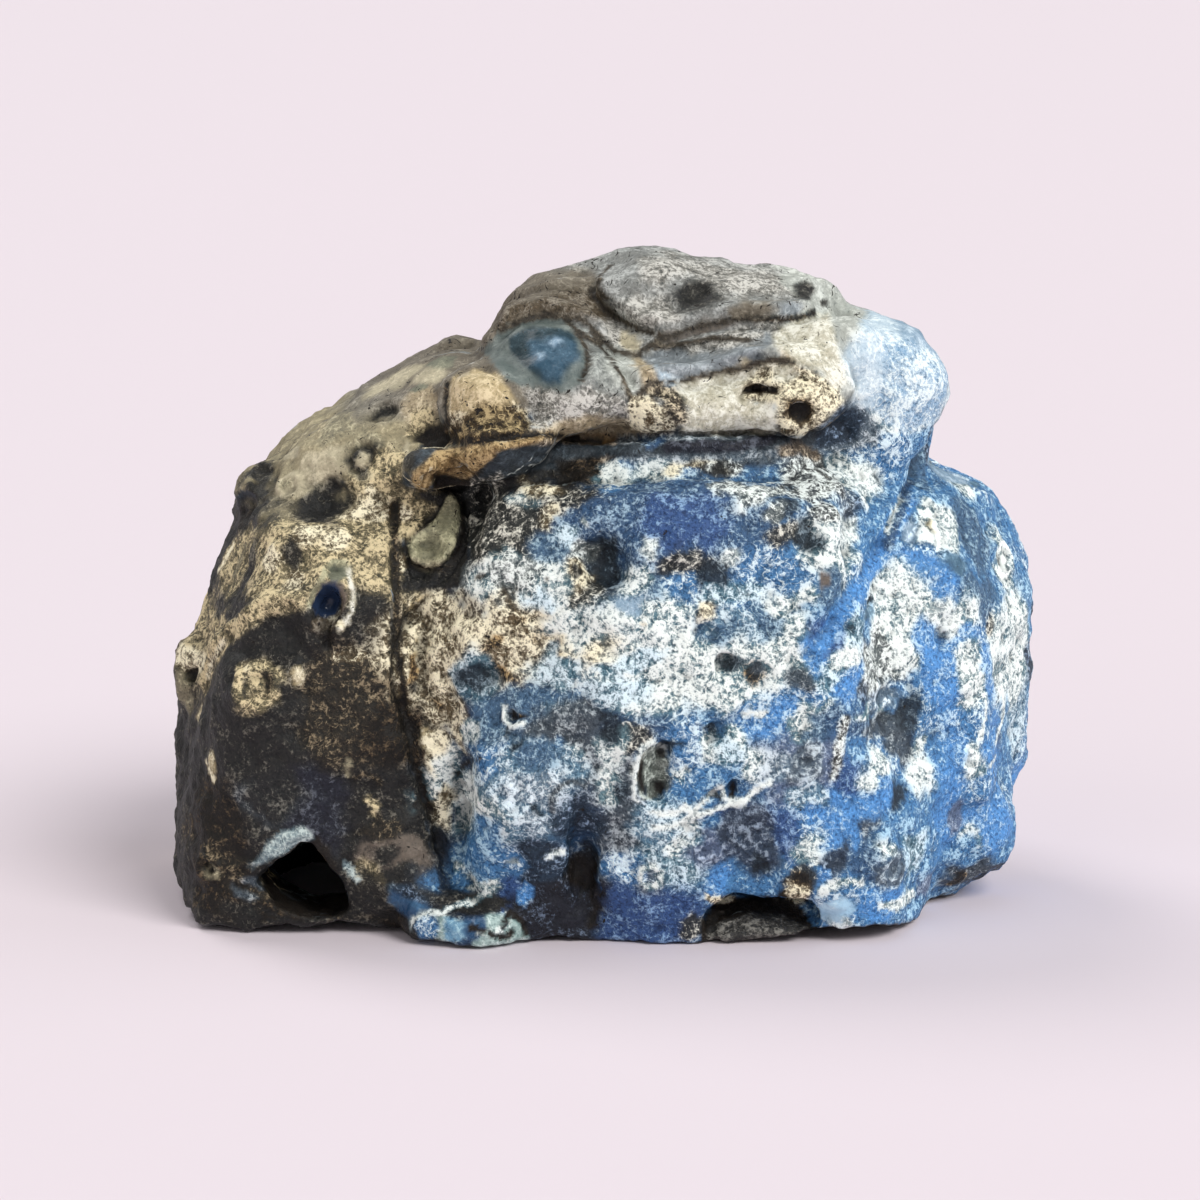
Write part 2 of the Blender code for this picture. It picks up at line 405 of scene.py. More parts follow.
# %% Smooth brush
BRUSHED = [
    # place in the picture, width, height, slant, strength
    (528, 466, 9.0, 5.5, 0, 1.0),
    (500, 476, 7.0, 4.0, 0, 1.0),
    (478, 500, 5.5, 6.0, 0, 1.0),
    (474, 530, 5.0, 8.0, 10, 1.0),
    (462, 560, 4.5, 6.0, 20, 0.8),
    (560, 476, 9.0, 3.6, 0, 0.9),
    (630, 474, 10.0, 3.6, 0, 0.9),
    (700, 474, 10.0, 3.6, 0, 0.9),
    (770, 472, 10.0, 3.6, 0, 0.9),
    (602, 566, 7.0, 9.0, 10, 0.7),
    (806, 536, 5.0, 5.5, 0, 0.8),
    (750, 668, 6.0, 4.5, 0, 0.8),
    (909, 712, 4.0, 6.0, 0, 0.8),
    (900, 795, 4.0, 5.0, 0, 0.8),
    (654, 768, 4.4, 7.4, 6, 0.9),
    (328, 602, 4.4, 5.4, 0, 0.5),
]
BRUSH_PASSES = 60


def weight_group(name, weights):
    """A vertex group that holds these weights in ten steps."""
    group = stone.vertex_groups.new(name=name)
    for level in range(1, 11):
        group.add(np.flatnonzero(np.ceil(weights * 10) == level).tolist(), level / 10, "REPLACE")


weights = np.zeros(len(clay.points))
for u, v, width, height, slant, strength in BRUSHED:
    near, share = spread(clay.points, sight(u, v), width, height, slant)
    weights[near] = np.maximum(weights[near], strength * fade(share, 0.8))
weight_group("smooth_brush", weights)
soften(BRUSH_PASSES, "smooth_brush")
stone.vertex_groups.clear()
clay.read()
skin = BVHTree.FromObject(stone, bpy.context.evaluated_depsgraph_get())
print("brushed points:", int((weights > 0).sum()))

# %% [markdown]
# ## Folds and grooves
# The cap is made of soft lumps that folded over each other, and deep creases part the great blocks of
# the stone. In sculpt mode these are strokes of the crease brush. Here a stroke is a line of places in
# the picture with a width and a depth, both in millimetres: a negative depth cuts and a positive one
# raises a ridge.

# %% Grooves and ridges
STROKES = [
    # width, lift, places in the picture
    (1.5, -0.8, [(447, 434), (444, 405), (448, 382), (461, 370), (484, 366), (502, 377), (512, 390),
        (521, 404)]),
    (1.2, -1.8, [(742, 398), (746, 391), (760, 388), (776, 391)]),
    (5, 1.6, [(500, 457), (540, 454), (600, 452), (680, 452), (740, 451), (800, 448), (828, 440)]),
    (3.4, -0.7, [(480, 480), (540, 478), (600, 477), (680, 477), (740, 476), (790, 474)]),
    (3, -2.6, [(430, 484), (450, 486), (466, 482)]),
    (0.9, -0.7, [(409, 562), (409, 545), (422, 527), (440, 512), (450, 498)]),
    (0.9, -0.8, [(458, 503), (460, 530), (455, 553), (441, 566)]),
    (1.6, -1.4, [(464, 500), (465, 530), (458, 556), (448, 576)]),
    (2.4, -1.3, [(448, 576), (434, 596), (410, 622), (400, 650), (398, 685), (412, 720), (420, 770)]),
    (2.6, -1.6, [(420, 770), (432, 810), (444, 850), (452, 885)]),
    (1.6, -1, [(394, 505), (393, 560), (396, 600), (398, 650)]),
    (3, 0.9, [(203, 682), (213, 652), (235, 622), (262, 606), (300, 600)]),
    (5, -0.7, [(588, 800), (578, 840), (572, 880), (568, 930)]),
    (0.8, 0.6, [(654, 741), (641, 752), (635, 768), (633, 785), (637, 800)]),
    (0.8, 0.45, [(690, 820), (712, 812), (735, 806), (748, 795), (766, 785), (778, 780)]),
    (0.6, -0.4, [(589, 787), (573, 781), (560, 786), (551, 797), (553, 812), (550, 830)]),
    (1, 0.5, [(504, 711), (506, 721), (514, 729), (523, 724)]),
    (1.4, -0.9, [(917, 442), (913, 472), (902, 496), (890, 520), (876, 548)]),
    (3.4, -0.8, [(880, 545), (858, 580), (838, 610), (812, 650)]),
    (2, -0.9, [(938, 428), (925, 445), (918, 465)]),
    (0.8, -0.5, [(900, 352), (908, 366), (914, 378)]),
    (0.7, -0.4, [(868, 372), (890, 385), (915, 398), (935, 405)]),
    (0.7, -0.4, [(880, 395), (900, 408), (925, 415)]),
    (0.6, 0.35, [(985, 690), (984, 715), (981, 738)]),
    (0.6, 0.35, [(1003, 715), (996, 735), (992, 760)]),
    (1.8, 0.6, [(262, 860), (276, 848), (296, 836), (310, 834)]),
    (1.2, 0.5, [(232, 868), (246, 862), (262, 862)]),
    (1.4, -0.6, [(236, 885), (260, 893), (285, 895)]),
]
print("strokes:", len(STROKES))

# %% Folds of the cap
FOLDS = [
    # width of the swell above the fold, its rise, depth of the crease, places from left to right
    (5, 1.3, 0.8, [(489, 343), (498, 330), (514, 321), (540, 316), (568, 318), (590, 328), (606, 343)]),
    (6, 1.5, 0.9, [(598, 276), (592, 292), (604, 309), (622, 320), (640, 330), (664, 336)]),
    (5, 1.5, 1, [(640, 352), (655, 341), (680, 332), (706, 325), (748, 320), (774, 323), (802, 318),
        (834, 300)]),
    (4.5, 1.5, 1, [(640, 394), (655, 384), (672, 380), (700, 378), (727, 372), (758, 365), (782, 362),
        (798, 366)]),
    (2.4, 0.5, 0.5, [(567, 322), (580, 332), (592, 340), (607, 343), (618, 352), (640, 357)]),
    (2.4, -0.5, 0.6, [(606, 343), (604, 360), (600, 378), (596, 392)]),
    (2.4, -0.5, 0.6, [(618, 355), (622, 370), (630, 382), (636, 392)]),
    (2, -0.4, 0.4, [(590, 333), (588, 350), (586, 366), (574, 381)]),
    (3, 0.6, 0.4, [(640, 356), (670, 350), (700, 345), (725, 338), (742, 334)]),
    (2.6, 0.5, 0.5, [(503, 300), (520, 296), (540, 294), (560, 290), (590, 293)]),
    (3, 0.7, 0.5, [(447, 437), (462, 444), (483, 442), (510, 438), (540, 434), (580, 437), (622, 438)]),
    (3.5, 0.6, 0.25, [(622, 438), (650, 434), (690, 431), (730, 428), (750, 426), (780, 430), (800, 438),
        (820, 425), (848, 402)]),
    (3, -0.6, 0.4, [(822, 322), (836, 345), (848, 370), (856, 396)]),
    (3.2, 0.6, 0.5, [(430, 352), (445, 347), (460, 345), (480, 344), (490, 343)]),
]
print("folds:", len(FOLDS))

# %% [markdown]
# ## Raising and cutting
# A stroke is traced on the skin first, by looking at a point every few pixels. Then the points of the
# clay near the trace move along the way the skin faces there. A fold does more: it swells on its upper
# side, sinks on its lower side and has a sharp crease between them.

# %% Stroke the folds, grooves and ridges
TRACE_STEP = 3  # pixels between the points of a trace
STROKE_FRAY = 0.7  # how ragged the edge of a stroke is
CREASE_REACH = 0.75 * MM  # from the bottom of a crease to its edge
SINK = 0.6  # below a fold the skin sinks by this share of the rise above it
TAPER = 0.12  # a fold fades over this share of its length at each end
SETTLE_STEPS = 3
FACING_ALONG = -0.2  # a stroke moves only points that face its way more than this


def trace(places):
    """Points along the skin under a line of places in the picture, and the facing at its middle."""
    dense = []
    for (u0, v0), (u1, v1) in zip(places, places[1:]):
        steps = max(2, int(math.hypot(u1 - u0, v1 - v0) / TRACE_STEP))
        dense += [(u0 + (u1 - u0) * step / steps, v0 + (v1 - v0) * step / steps) for step in range(steps)]
    dense.append(places[-1])
    return np.array([sight(u, v)[0] for u, v in dense]), sight(*places[len(places) // 2])[1]


def measure(line, reach, points):
    """The points near a line, how far each is from it, and the nearest place on the line."""
    low, high = line.min(0) - reach, line.max(0) + reach
    near = np.flatnonzero(((points > low) & (points < high)).all(1))
    squares = ((points[near, None] - line[None]) ** 2).sum(2)
    nearest = squares.argmin(1)
    return near, np.sqrt(squares[np.arange(len(near)), nearest]), nearest


def stroke(width, lift, places):
    """A groove or a ridge along a line."""
    line, facing = trace(places)
    half = width / 2 * MM
    near, gaps, nearest = measure(line, half * 2, clay.points)
    share = gaps / half + ragged(clay.points[near]) * STROKE_FRAY
    weight = 1 - ramp(share, 0, 1)
    outward = (clay.facing[near] @ facing) > FACING_ALONG
    clay.points[near] += facing * (lift * MM * weight * outward)[:, None]


def fold(width, rise, crease, places):
    """A lump that hangs over the next one: raised above the line, sunk below it and creased along it."""
    line, facing = trace(places)
    width = width * MM
    near, gaps, nearest = measure(line, width, clay.points)
    along = np.gradient(line, axis=0)[nearest]
    offset = clay.points[near] - line[nearest]
    above = np.sign(np.cross(offset, along) @ -facing)
    ends = np.minimum(nearest, len(line) - 1 - nearest) / (TAPER * len(line))
    strength = np.clip(ends, 0, 1)
    share = gaps / width
    swell = np.where(above > 0, 1.0, -SINK) * (1 - ramp(share, 0, 1)) * ramp(share, 0, 0.12)
    groove = 1 - ramp(gaps / CREASE_REACH, 0, 1)
    lift = (rise * swell - crease * groove) * strength * MM
    outward = (clay.facing[near] @ facing) > FACING_ALONG
    clay.points[near] += facing * (lift * outward)[:, None]


for values in FOLDS:
    fold(*values)
for values in STROKES:
    stroke(*values)
clay.write()
soften(SETTLE_STEPS)
clay.read()
print("height after the strokes, mm:", round(float(clay.points[:, 2].max() / MM), 1))

# %% [markdown]
# ## Pits, bosses and rings
# Gas and water left round marks: pits, small bosses, and the flat concentric rings in which silica
# crusts grow. Each is a press of the brush with a width, a height and a lift in millimetres, and a
# profile: a dome, a bowl or a ring. Flakes that stand out and sockets that a flake left have an edge of
# their own shape, so they are outlines that are lifted or sunk.

# %% Presses
PRESSES = [
    # profile, then for each press its place in the picture, width, height, slant and lift
    ("dome", (330, 598, 6.4, 9.5, 12, 0.8)),
    ("bowl", (328, 600, 3.8, 5, 18, -0.5), (338, 571, 2.2, 1.8, 0, -0.4), (325, 634, 3.4, 1.2, 80, -0.7)),
    ("ring", (257, 688, 6.2, 6.4, 0, 0.6)),
    ("bowl", (190, 673, 1.4, 1.6, 0, -1.2)),
    ("ring", (209, 868, 3, 3.4, 0, 0.6)),
    ("bowl", (209, 868, 1.2, 1.5, 0, -0.6)),
    ("dome", (297, 670, 1.6, 2.2, 10, 0.5)),
    ("bowl", (382, 412, 1.6, 3.6, 50, -0.8)),
    ("ring", (360, 458, 3.6, 4.2, 10, -0.8)),
    ("dome", (360, 461, 1.6, 1.9, 0, 0.3)),
    ("bowl", (265, 474, 3, 3.4, 40, -0.9), (243, 508, 2.2, 3.4, 0, -1)),
    ("ring", (290, 486, 3, 3.4, 0, 0.5)),
    ("bowl", (330, 500, 4.4, 5, 30, -1), (602, 566, 6, 8, 10, -0.8)),
    ("dome", (574, 572, 3.6, 3.6, 0, 1)),
    ("bowl", (478, 683, 4.4, 4.2, 0, -0.6), (514, 716, 1.3, 1.6, -20, -0.7),
        (514, 741, 1.8, 2.2, 0, -0.7), (653, 770, 3.2, 6.4, 8, -0.2), (663, 750, 1.5, 1.8, 0, -0.8),
        (657, 789, 1.8, 2, 0, -0.8), (806, 534, 3.6, 4, 0, -0.5), (726, 664, 2, 2.2, 0, -0.9),
        (757, 675, 3.6, 3.2, 0, -0.4), (706, 634, 3, 2.6, 30, -0.35), (714, 732, 2.4, 2.4, 0, -0.7),
        (733, 787, 1.4, 1.8, 0, -0.8), (713, 793, 1.4, 1, 0, -0.5), (909, 705, 3.4, 5, 0, -0.5),
        (903, 795, 2.2, 3.2, 20, -0.4), (938, 636, 1.4, 2.2, 0, -0.9), (870, 601, 1, 1, 0, -0.6),
        (848, 625, 1, 1.2, 0, -0.6), (800, 412, 2.4, 2, 0, -1.2)),
    ("ring", (797, 379, 2.8, 2.2, 0, -0.4)),
    ("bowl", (695, 292, 3, 2.6, 20, -0.6), (803, 289, 1.2, 1.2, 0, -0.5), (815, 287, 0.9, 0.9, 0, -0.4)),
    ("ring", (757, 838, 6.8, 6.6, 0, 0.35), (757, 838, 3, 3, 0, 0.3), (804, 762, 5.6, 5.6, 0, 0.35),
        (805, 762, 2.8, 2.8, 0, 0.3), (834, 862, 4, 4.4, 0, 0.3), (893, 866, 4, 3.8, 0, 0.35),
        (880, 696, 4.8, 4, 0, 0.4), (652, 880, 3.6, 3.6, 0, 0.4), (608, 862, 2.6, 3, 0, 0.35),
        (708, 848, 3.2, 3.2, 0, 0.3), (1002, 558, 3.4, 4.6, 0, 0.4), (968, 762, 2.8, 3, 0, 0.4),
        (885, 838, 3.2, 2.8, 0, -0.3)),
    ("dome", (500, 790, 15, 15, 0, 0.5), (640, 650, 20, 9, 85, 0.5), (400, 860, 9.5, 6, 80, 0.9),
        (545, 354, 10, 7, 15, 1.3), (486, 405, 8, 8.4, 0, 1.4), (560, 305, 12, 4, -8, 0.8),
        (655, 290, 12, 8, 0, 0.8), (770, 290, 12, 6, -10, 0.8), (715, 350, 12, 4.4, 12, 0.9),
        (805, 345, 7, 7, -30, 0.9), (570, 410, 10, 5, 0, 0.8), (700, 410, 12, 4.4, 0, 0.7),
        (800, 402, 8, 6.4, 0, 1), (890, 350, 13, 10, -20, 1.2)),
    ("bowl", (795, 377, 2.8, 1.6, 0, -0.6)),
    ("dome", (955, 640, 12, 16, 0, 0.6), (830, 560, 4, 4.4, 0, 0.5), (645, 552, 2.6, 3.2, 0, 0.5),
        (730, 745, 3.4, 4.4, 0, 0.4), (925, 775, 5, 5, 20, 0.4), (795, 885, 3.4, 3.4, 0, 0.6)),
    # along the outline
    ("bowl", (598, 272, 4, 8, 0, -0.7)),
    ("dome", (628, 256, 5, 8, 0, 0.5), (545, 279, 7, 8, 0, 0.4)),
    ("bowl", (748, 262, 3, 6, 0, -0.5), (790, 272, 2.4, 6, 0, -0.5)),
    ("dome", (822, 290, 3.2, 5, 0, 0.6)),
    ("bowl", (838, 306, 4.4, 6, 0, -2), (926, 332, 6, 6, 0, -2), (900, 316, 2.4, 5, 0, -0.5),
        (952, 350, 5, 6, 0, -1.4), (484, 330, 4.4, 6, 0, -0.8), (332, 396, 7, 6, 0, -0.9)),
    ("dome", (222, 560, 8, 14, 0, 0.9)),
    ("bowl", (1030, 720, 8, 18, 0, -0.8)),
    ("dome", (992, 862, 9, 7, 0, 1.6), (1018, 842, 6, 9, 0, 1.6)),
]
print("presses:", sum(len(row) - 1 for row in PRESSES))

# %% Flakes and sockets
FIN = [
    (447, 497), (453, 495), (458, 501), (460, 510), (459, 528), (455, 548), (449, 558), (440, 566),
    (425, 567), (412, 562), (408, 552), (409, 545), (414, 536), (428, 527), (435, 520), (441, 509),
]
FLAKES = [
    # lift in mm, width of the edge in mm, outline
    (1.5, 0.5, FIN),
    (-1.6, 0.6, [(434, 474), (448, 476), (460, 480), (470, 479), (470, 488), (452, 492), (432, 491)]),
    (0.7, 0.6, [(411, 483), (413, 472), (421, 465), (436, 451), (455, 447), (491, 443), (515, 439),
        (545, 437), (529, 445), (500, 451), (486, 465), (467, 479), (448, 475), (434, 475), (426, 488)]),
    (0.8, 0.5, [(410, 926), (418, 916), (434, 912), (462, 916), (490, 914), (520, 922), (530, 938),
        (470, 960), (410, 950)]),
    (0.9, 0.5, [(714, 932), (722, 916), (750, 912), (780, 914), (806, 925), (799, 950), (757, 950),
        (723, 948)]),
]
print("flakes and sockets:", len(FLAKES))

# %% Press and lift
PRESS_FRAY = 0.35
FLAKE_FRAY = 0.4
PROFILES = {
    "dome": lambda share: fade(share, 1.4),
    "bowl": lambda share: fade(share, 0.7),
    "ring": lambda share: np.exp(-(((share - 0.72) / 0.2) ** 2)),
}


def press(profile, u, v, width, height, slant, lift):
    """One press of the brush at a place in the picture."""
    place = sight(u, v)
    near, share = spread(clay.points, place, width, height, slant)
    share = share + ragged(clay.points[near]) * PRESS_FRAY
    outward = clay.facing[near] @ place[1] > 0
    clay.points[near] += place[1] * (lift * MM * PROFILES[profile](share) * outward)[:, None]


def lift_flake(lift, edge, outline):
    """Raises or sinks what lies in an outline, toward the eye or away from it."""
    near, depth = within(clay.points, clay.facing, outline)
    depth = depth + FLAKE_FRAY * edge * ragged(clay.points[near])
    clay.points[near] -= np.array(forward) * (lift * MM * ramp(depth, -edge / 2, edge / 2))[:, None]


for profile, *marks in PRESSES:
    for mark in marks:
        press(profile, *mark)
clay.write()
for flake in FLAKES:
    lift_flake(*flake)
clay.write()
remesh()  # the strokes stretched the faces on steep walls, where marks would smear
clay = Clay(stone)
print("clay vertices:", len(clay.points))

# %% [markdown]
# ## Weathered skin
# The blue faces feel like coarse sand, because the crust grew in grains on them, while the cap is
# smooth and waxy. So the fine relief has two strengths: it fades on the cap. The points move along
# their facing by noise of three sizes.

# %% Fine relief
RELIEF = [(5.0 * MM, 0.50, 1), (1.7 * MM, 0.24, 2), (0.75 * MM, 0.12, 3)]  # wave size, lift in mm, seed
CAP_FLOOR = 57 * MM  # in the middle, the cap's smooth lumps lie above this height
CAP_DROOP = 0.12  # and lower by this share of the way out to either side
CAP_BLEND = 4 * MM
CAP_SOFTNESS = 0.5  # of the relief that the cap does without


def cap_share(points):
    """1 on the smooth cap and 0 on the rough faces below it."""
    edge = CAP_FLOOR - CAP_DROOP * np.abs(points[:, 0])
    return np.clip((points[:, 2] - edge) / CAP_BLEND, 0, 1)


smooth_share = cap_share(clay.points)
relief = np.zeros(len(clay.points))
for size, lift, seed in RELIEF:
    relief += lift * MM * lumps(clay.points, size, 2, seed)
relief *= 1 - CAP_SOFTNESS * smooth_share
clay.points += clay.facing * relief[:, None]
clay.points[:, 2] = np.maximum(clay.points[:, 2], 0)  # the foot stays on its flat
clay.write()
print("relief, mm:", round(float(relief.min() / MM), 2), "to", round(float(relief.max() / MM), 2))

# %% [markdown]
# ## Fewer faces where nobody looks closely
# The front keeps its fine clay. The back, the foot and the hollow inside are thinned, and a vertex
# group says where.

# %% Thin the far sides
FACE_LIMIT = 190000
EDGE_ON = 0.35  # a point that faces the eye less than this is thinned more
BACK_START = 5 * MM
BACK_DEPTH = 20 * MM
LEAST_THINNING = 0.05

toward_eye = clay.facing @ np.array(-forward)
far = np.clip(EDGE_ON - toward_eye, 0, 1) + np.clip((clay.points[:, 1] - BACK_START) / BACK_DEPTH, 0, 1)
weight_group("thin_here", np.clip(far, LEAST_THINNING, 1))
thin = stone.modifiers.new("thin", "DECIMATE")
triangles = sum(len(face.vertices) - 2 for face in stone.data.polygons)
thin.ratio = min(1, FACE_LIMIT / triangles)
thin.vertex_group = "thin_here"
thin.vertex_group_factor = 1.0
thin.use_collapse_triangulate = True
pick(stone)
bpy.ops.object.modifier_apply(modifier="thin")
stone.vertex_groups.clear()
bpy.ops.object.shade_smooth()
clay = Clay(stone)
skin = BVHTree.FromObject(stone, bpy.context.evaluated_depsgraph_get())
print("faces:", triangles, "thinned to", len(stone.data.polygons))

# %% [markdown]
# ## The palette
# Each finish names the stone that shows, the crust over it, how much of the stone the crust covers,
# how many dark specks lie in it, how glassy it is and how gritty: a smooth finish has soft clouds of
# colour where a gritty one has grains. Colours are written as a painter reads them, from 0 to 255.

# %% Finishes


def rgb(red, green, blue):
    """A colour from 0 to 255 as the linear values that a shader takes."""
    value = np.array([red, green, blue]) / 255
    return np.where(value > 0.04045, ((value + 0.055) / 1.055) ** 2.4, value / 12.92)


NAVY = rgb(36, 52, 68)
DEEP_BLUE = rgb(56, 88, 124)
BLUE = rgb(74, 128, 178)
BRIGHT_BLUE = rgb(86, 148, 212)
SKY = rgb(172, 212, 236)
BROWN_BLACK = rgb(30, 25, 20)
BROWN = rgb(84, 66, 46)
OCHRE = rgb(190, 160, 112)
OLIVE_GREY = rgb(132, 125, 102)
TAUPE = rgb(104, 94, 84)
CREAM = rgb(255, 246, 214)
WHITE = rgb(246, 253, 248)
COLD_WHITE = rgb(226, 246, 254)

